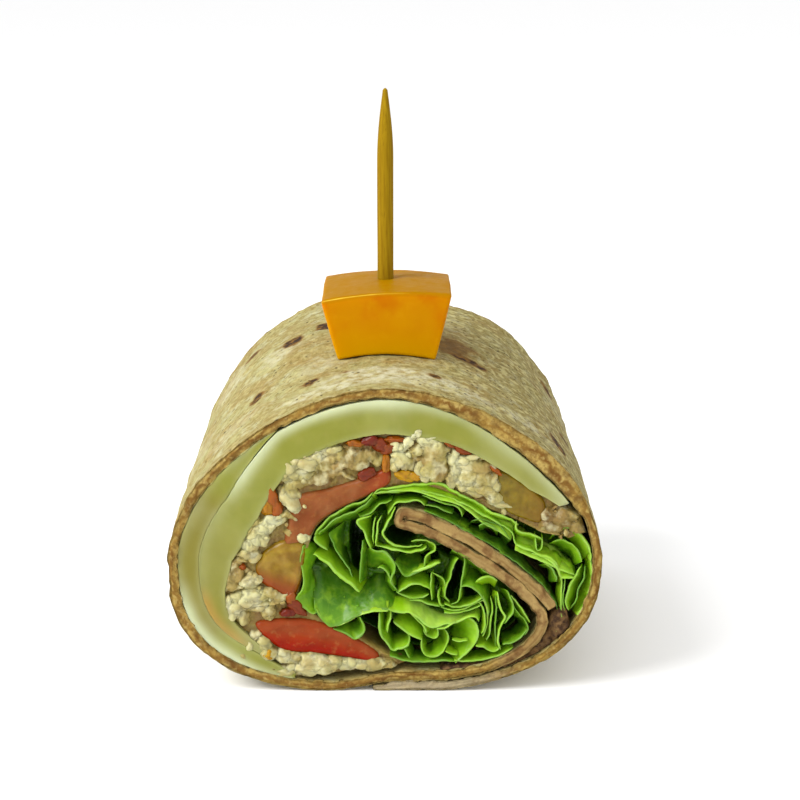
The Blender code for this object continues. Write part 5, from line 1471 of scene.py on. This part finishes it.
# %% The heart: the fan on the right and the curls below
FAN_LEAVES = [
    ([(12.5, 13.0), (13.2, 12.2), (13.5, 10.5), (13.4, 9.0), (13.0, 8.3)],
     (-0.5, 0.3), 2.5, 0.35, 0.85),
    ([(13.2, 13.3), (13.8, 12.0), (13.9, 10.0), (13.6, 8.5), (13.3, 7.8)],
     (-0.3, 0.2), 3.0, 0.35, 0.9),
    ([(14.3, 13.4), (14.5, 11.5), (14.3, 9.5), (14.2, 8.0), (13.8, 7.2)],
     (-0.4, 0.3), 3.0, 0.4, 0.8),
    ([(15.2, 14.2), (15.5, 12.5), (16.0, 11.3), (16.3, 10.5), (15.8, 9.5), (15.4, 8.3), (15.3, 7.0),
      (15.7, 5.8)],
     (-0.6, 0.2), 2.5, 0.5, 1.05),
    ([(14.9, 13.6), (15.0, 11.5), (14.9, 9.5), (14.9, 8.0), (15.0, 6.4)],
     (-0.3, 0.3), 4, 0.3, 0.3),
    ([(16.5, 14.4), (17.2, 12.7), (17.4, 11.5), (16.8, 10.6), (16.2, 9.6)],
     (-0.9, 0.3), 3.0, 0.4, 0.55),
    ([(17.0, 13.7), (18.0, 12.4), (19.0, 11.1), (19.6, 9.7)],
     (-0.5, -0.5), 2.0, 0.4, 0.8),
    ([(17.2, 12.6), (18.0, 11.2), (18.9, 10.3), (19.3, 9.0), (18.9, 8.0)],
     (-0.8, -0.4), 4, 0.3, 0.3),
    ([(16.0, 6.6), (17.2, 7.0), (18.4, 7.6), (19.3, 8.8)],
     (-0.3, 1.2), 4, 0.35, 0.4),
    # below the stem
    ([(-0.8, 11.3), (-0.8, 9.0), (-0.5, 7.8), (0.2, 6.8), (0.8, 5.9), (1.3, 5.6), (1.6, 5.9), (2.2, 6.0),
      (2.8, 6.2), (3.2, 6.5), (3.3, 7.5), (3.1, 8.0)],
     [(0.3, 11.4), (0.5, 10.0), (0.6, 9.0), (0.9, 8.2), (1.3, 8.0), (1.6, 8.0), (1.9, 8.1), (2.2, 8.2),
      (2.4, 8.3), (2.6, 8.4), (2.8, 8.5), (2.9, 8.6)], 3.5, 0.5, 0.7),
    ([(0.8, 11.6), (0.7, 10.4), (0.4, 9.4), (0.3, 8.4)],
     (-0.6, 0.2), 2.0, 0.4, 0.9),
    ([(1.1, 9.9), (2.1, 9.0), (3.4, 8.0), (4.4, 7.6), (5.0, 7.4)],
     [(1.4, 10.9), (2.6, 11.1), (3.6, 10.7), (4.6, 9.9), (5.4, 8.9)], 2.5, 0.45, 0.8),
    ([(3.1, 11.6), (4.0, 10.6), (4.5, 9.9), (5.3, 8.9), (5.6, 8.2)],
     (0.8, 0.4), 2.0, 0.45, 0.9),
    ([(5.1, 8.6), (5.6, 7.8), (6.4, 7.4), (7.0, 7.5), (7.25, 8.2), (7.0, 8.8)],
     [(5.3, 9.2), (5.7, 9.0), (6.1, 8.9), (6.4, 8.9), (6.6, 9.0), (6.7, 9.1)], 2.0, 0.4, 0.75),
    ([(5.0, 7.6), (4.9, 6.5), (5.1, 5.4), (5.7, 4.9), (6.6, 4.8), (7.5, 5.2), (8.1, 6.0), (8.5, 7.0),
      (8.6, 8.0), (8.0, 9.0)],
     [(5.4, 7.6), (5.5, 7.0), (5.7, 6.6), (6.1, 6.5), (6.6, 6.6), (7.0, 6.9), (7.3, 7.3), (7.5, 7.8),
      (7.6, 8.3), (7.4, 8.9)], 3.0, 0.45, 0.75),
    ([(11.2, 10.5), (12.0, 10.1), (12.5, 9.3), (12.7, 8.3), (12.5, 7.2), (12.0, 6.3), (11.3, 5.4),
      (10.6, 4.8), (10.0, 4.2), (9.6, 3.8)],
     [(9.8, 10.0), (9.3, 9.6), (9.1, 9.0), (9.0, 8.2), (9.0, 7.4), (8.9, 6.8), (8.7, 6.2), (8.5, 5.9),
      (8.4, 5.7), (8.4, 5.5)], 3.0, 0.5, 0.75),
    ([(8.2, 5.6), (9.0, 5.2), (9.8, 5.0)],
     (0.3, 0.9), 1.5, 0.4, 1.0),
    ([(9.1, 7.3), (10.0, 7.1), (11.2, 7.3)],
     (0.0, 0.25), 1.0, 0.25, 1.2),
    ([(12.3, 6.4), (13.3, 6.2), (14.3, 5.5), (15.2, 5.6), (15.8, 6.2)],
     [(12.7, 7.8), (13.4, 7.8), (14.2, 7.4), (14.9, 7.2), (15.2, 7.2)], 2.5, 0.4, 0.8),
    ([(9.4, 4.2), (11.0, 4.0), (12.6, 4.1), (14.4, 4.5), (16.0, 5.2), (17.4, 6.2)],
     (-0.2, 1.3), 3.0, 0.4, 0.7),
    ([(0.6, 4.9), (2.4, 4.4), (4.2, 4.2), (6.0, 4.1), (8.0, 4.2), (9.6, 4.0)],
     (0.1, 1.0), 3.0, 0.4, 0.4),
    ([(2.6, 6.0), (3.0, 5.2), (3.3, 4.6)],
     (0.7, 0.7), 3.0, 0.35, 0.5),
    ([(-7.0, 9.0), (-5.4, 8.2), (-4.2, 7.4), (-3.3, 7.8), (-2.8, 8.6), (-2.9, 9.3), (-3.4, 10.6)],
     [(-7.2, 10.0), (-6.0, 9.8), (-5.2, 9.6), (-4.6, 9.6), (-4.2, 9.9), (-4.0, 10.2), (-4.2, 10.8)], 2.5,
      0.5, 0.35),
]
print("leaves at each end:", sum(len(rows) for rows in (OUTER_LEAVES, LEFT_LEAVES, MIDDLE_LEAVES, FAN_LEAVES)))

# %% [markdown]
# Between the leaves it is dark, because they go on inwards. A crumpled block behind them, smaller than the
# solid that the frame holds, closes the view. Its colour is the darkest green, painted as shade by its
# depth mark, and it has deep pockets where a gap between the leaves is darkest of all. A few water drops lie
# on one leaf of the heart.

# %% Lettuce finish and pieces
lettuce = Finish("lettuce", 0.3, Subsurface_Weight=0.25, Subsurface_Radius=(0.5, 1.0, 0.2), Subsurface_Scale=0.0006)
tone, deep = lettuce.mark("tone"), lettuce.mark("deep")
blade = lettuce.mix(lettuce.range(tone, 0.0, 0.55), screen(56, 96, 22), screen(88, 142, 12))
blade = lettuce.mix(lettuce.range(tone, 0.5, 1.1), blade, screen(134, 178, 8))
blade = lettuce.mix(lettuce.range(tone, 1.1, 1.6), blade, screen(176, 206, 92))
patches = lettuce.range(lettuce.noise(2.2, 4), 0.42, 0.68, 0, 0.5)
blade = lettuce.mix(patches, blade, screen(60, 108, 10))
light = lettuce.range(lettuce.noise(1.4, 3), 0.48, 0.68, 0, 0.5)
blade = lettuce.mix(light, blade, screen(142, 184, 34))
veins = lettuce.range(lettuce.cells(1.9, feature="DISTANCE_TO_EDGE"), 0.07, 0.0, 0, 0.14)
blade = lettuce.mix(veins, blade, screen(131, 167, 53))
# Painted light: the blade is painted brighter in its first millimetre or so behind the cut.
painted_light_near_cut = lettuce.sum("MULTIPLY", lettuce.range(deep, 1.4, 0.1), lettuce.range(tone, 0.0, 1.0, 0.1, 0.5))
blade = lettuce.mix(painted_light_near_cut, blade, screen(150, 192, 46))
# Painted shade: the blade darkens with its depth behind the cut, to nearly black deep inside.
blade = lettuce.mix(lettuce.range(deep, 0.9, 4.6, 0, 0.78), blade, screen(26, 62, 6))
blade = lettuce.mix(lettuce.range(deep, 5.0, 9.0), blade, screen(4, 12, 1))
# The cut edge is paler: partly the leaf's own paler cut, partly painted highlight.
cut_edge = lettuce.sum("MULTIPLY", lettuce.range(deep, 0.28, 0.04),
                       lettuce.range(lettuce.noise(1.5, 4), 0.35, 0.6, 0.3, 1.0))
cut_colour = lettuce.mix(lettuce.range(tone, 0.1, 1.0), screen(84, 126, 48), screen(144, 184, 74))
lettuce.colour(lettuce.mix(cut_edge, blade, cut_colour))
lettuce.bump(lettuce.noise(0.8, 3), 0.35, 0.15)
lettuce.bump(lettuce.noise(2.0, 2), 0.5, 0.4)

OUTER_CORE = [(-6.9, 25.0), (-2.0, 27.4), (1.3, 28.6), (5.3, 28.6), (9.3, 27.3), (13.6, 25.4), (17.7, 23.7),
              (21.4, 22.0), (24.2, 22.0), (27.0, 20.5), (26.8, 15.0), (24.8, 12.0), (22.4, 16.4),
              (18.8, 19.8), (14.2, 22.9), (9.2, 25.2), (4.0, 26.8), (-2.6, 25.6)]
HEART_CORE = [(-9.0, 22.5), (-5.0, 24.0), (0.2, 25.0), (1.0, 23.4), (5.2, 21.4), (10.0, 18.8), (14.5, 15.4),
              (18.2, 11.0), (17.6, 8.0), (14.0, 5.6), (9.5, 4.8), (4.0, 4.7), (-1.4, 7.2), (-7.0, 10.5),
              (-10.6, 13.4), (-10.2, 19.0)]
# Deep pockets in the core: x, z, half width, half height, turn in degrees
POCKETS = np.array([
    (-3.7, 20.6, 0.9, 3.6, 4), (2.2, 22.4, 1.7, 1.3, 0), (9.3, 15.9, 0.85, 3.2, -10),
    (-1.9, 9.3, 1.0, 1.9, 0), (17.8, 8.8, 1.5, 2.3, -20), (6.2, 19.0, 1.0, 0.8, 0),
    (11.3, 13.9, 1.0, 0.7, 0), (-8.1, 20.0, 0.5, 1.4, 20), (4.0, 18.9, 1.0, 0.8, 0),
    (21.4, 15.6, 0.8, 3.2, -35), (1.2, 9.2, 0.5, 0.8, 0), (7.2, 6.0, 1.0, 0.8, 0),
    (11.2, 25.6, 1.3, 0.8, -25), (15.2, 22.8, 2.4, 0.8, -38), (24.7, 13.0, 0.4, 1.6, 0),
    (6.5, 15.9, 0.6, 0.9, 0), (4.2, 7.0, 0.6, 0.9, 0), (14.1, 9.0, 0.3, 1.8, 0),
    (8.2, 19.8, 1.2, 0.5, -25)])
POCKET_DEPTH = 5.0
POCKET_RISE = 0.28 * 4.5  # seen from above, what lies about 4.5 mm deeper seems this much higher


def pocket(x, z):
    """1 in the middle of a pocket, 0 outside all of them."""
    c, s = np.cos(np.radians(POCKETS[:, 4])), np.sin(np.radians(POCKETS[:, 4]))
    dx, dz = x[:, None] - POCKETS[None, :, 0], z[:, None] - POCKETS[None, :, 1]
    off = np.hypot((dx * c + dz * s) / POCKETS[:, 2], (dz * c - dx * s) / POCKETS[:, 3])
    return smoothstep((1.35 - off.min(axis=1)) / 0.6)


def crumpled(x, z, end):
    """The deep folds inside: 0.5 - |field| gives sharp crests, twice the coarse one and 0.8 times the fine one.
    The pockets go 5 mm deeper."""
    place = np.stack([x, z + 40 * end], axis=1)
    folds = 2.0 * (0.5 - np.abs(field(place, 3.2, 75, 2))) + 0.8 * (0.5 - np.abs(field(place, 1.3, 76, 2)))
    return folds - POCKET_DEPTH * pocket(x, z + POCKET_RISE)


for name, node, core, corners, rows in (
    ("lettuce_outer_leaves", "lettuce_outer_leaf", OUTER_CORE, (0, 9, 11, 17), [OUTER_LEAVES]),
    ("lettuce_heart_leaves", "lettuce_heart", HEART_CORE, (0, 7, 8, 15), [LEFT_LEAVES, MIDDLE_LEAVES, FAN_LEAVES]),
):
    points, faces, s, t, behind = slab(between_corners(core, corners), (170, 110, 12), (0.2, 0.2, 0.5), 19.9, 0.3,
                                       crumpled)
    # The core starts 3.2 mm deep, so the painted shade of depth makes it dark.
    core_deep = 3.2 + (20.5 - np.abs(points[:, 1])).clip(0, 6)
    inside_core = (points, faces, {"deep": core_deep, "tone": 0.35 + 0 * s})
    sheets = [one for number, group in enumerate(rows) for one in leaves(group, 100 * number + 7)]
    if node == "lettuce_heart":
        sheets.append(drops(sheets[4], 22, 5))
    all_points, all_faces, marks = joined([inside_core, *sheets])
    make_piece(name, all_points, all_faces, lettuce.look, node, marks)
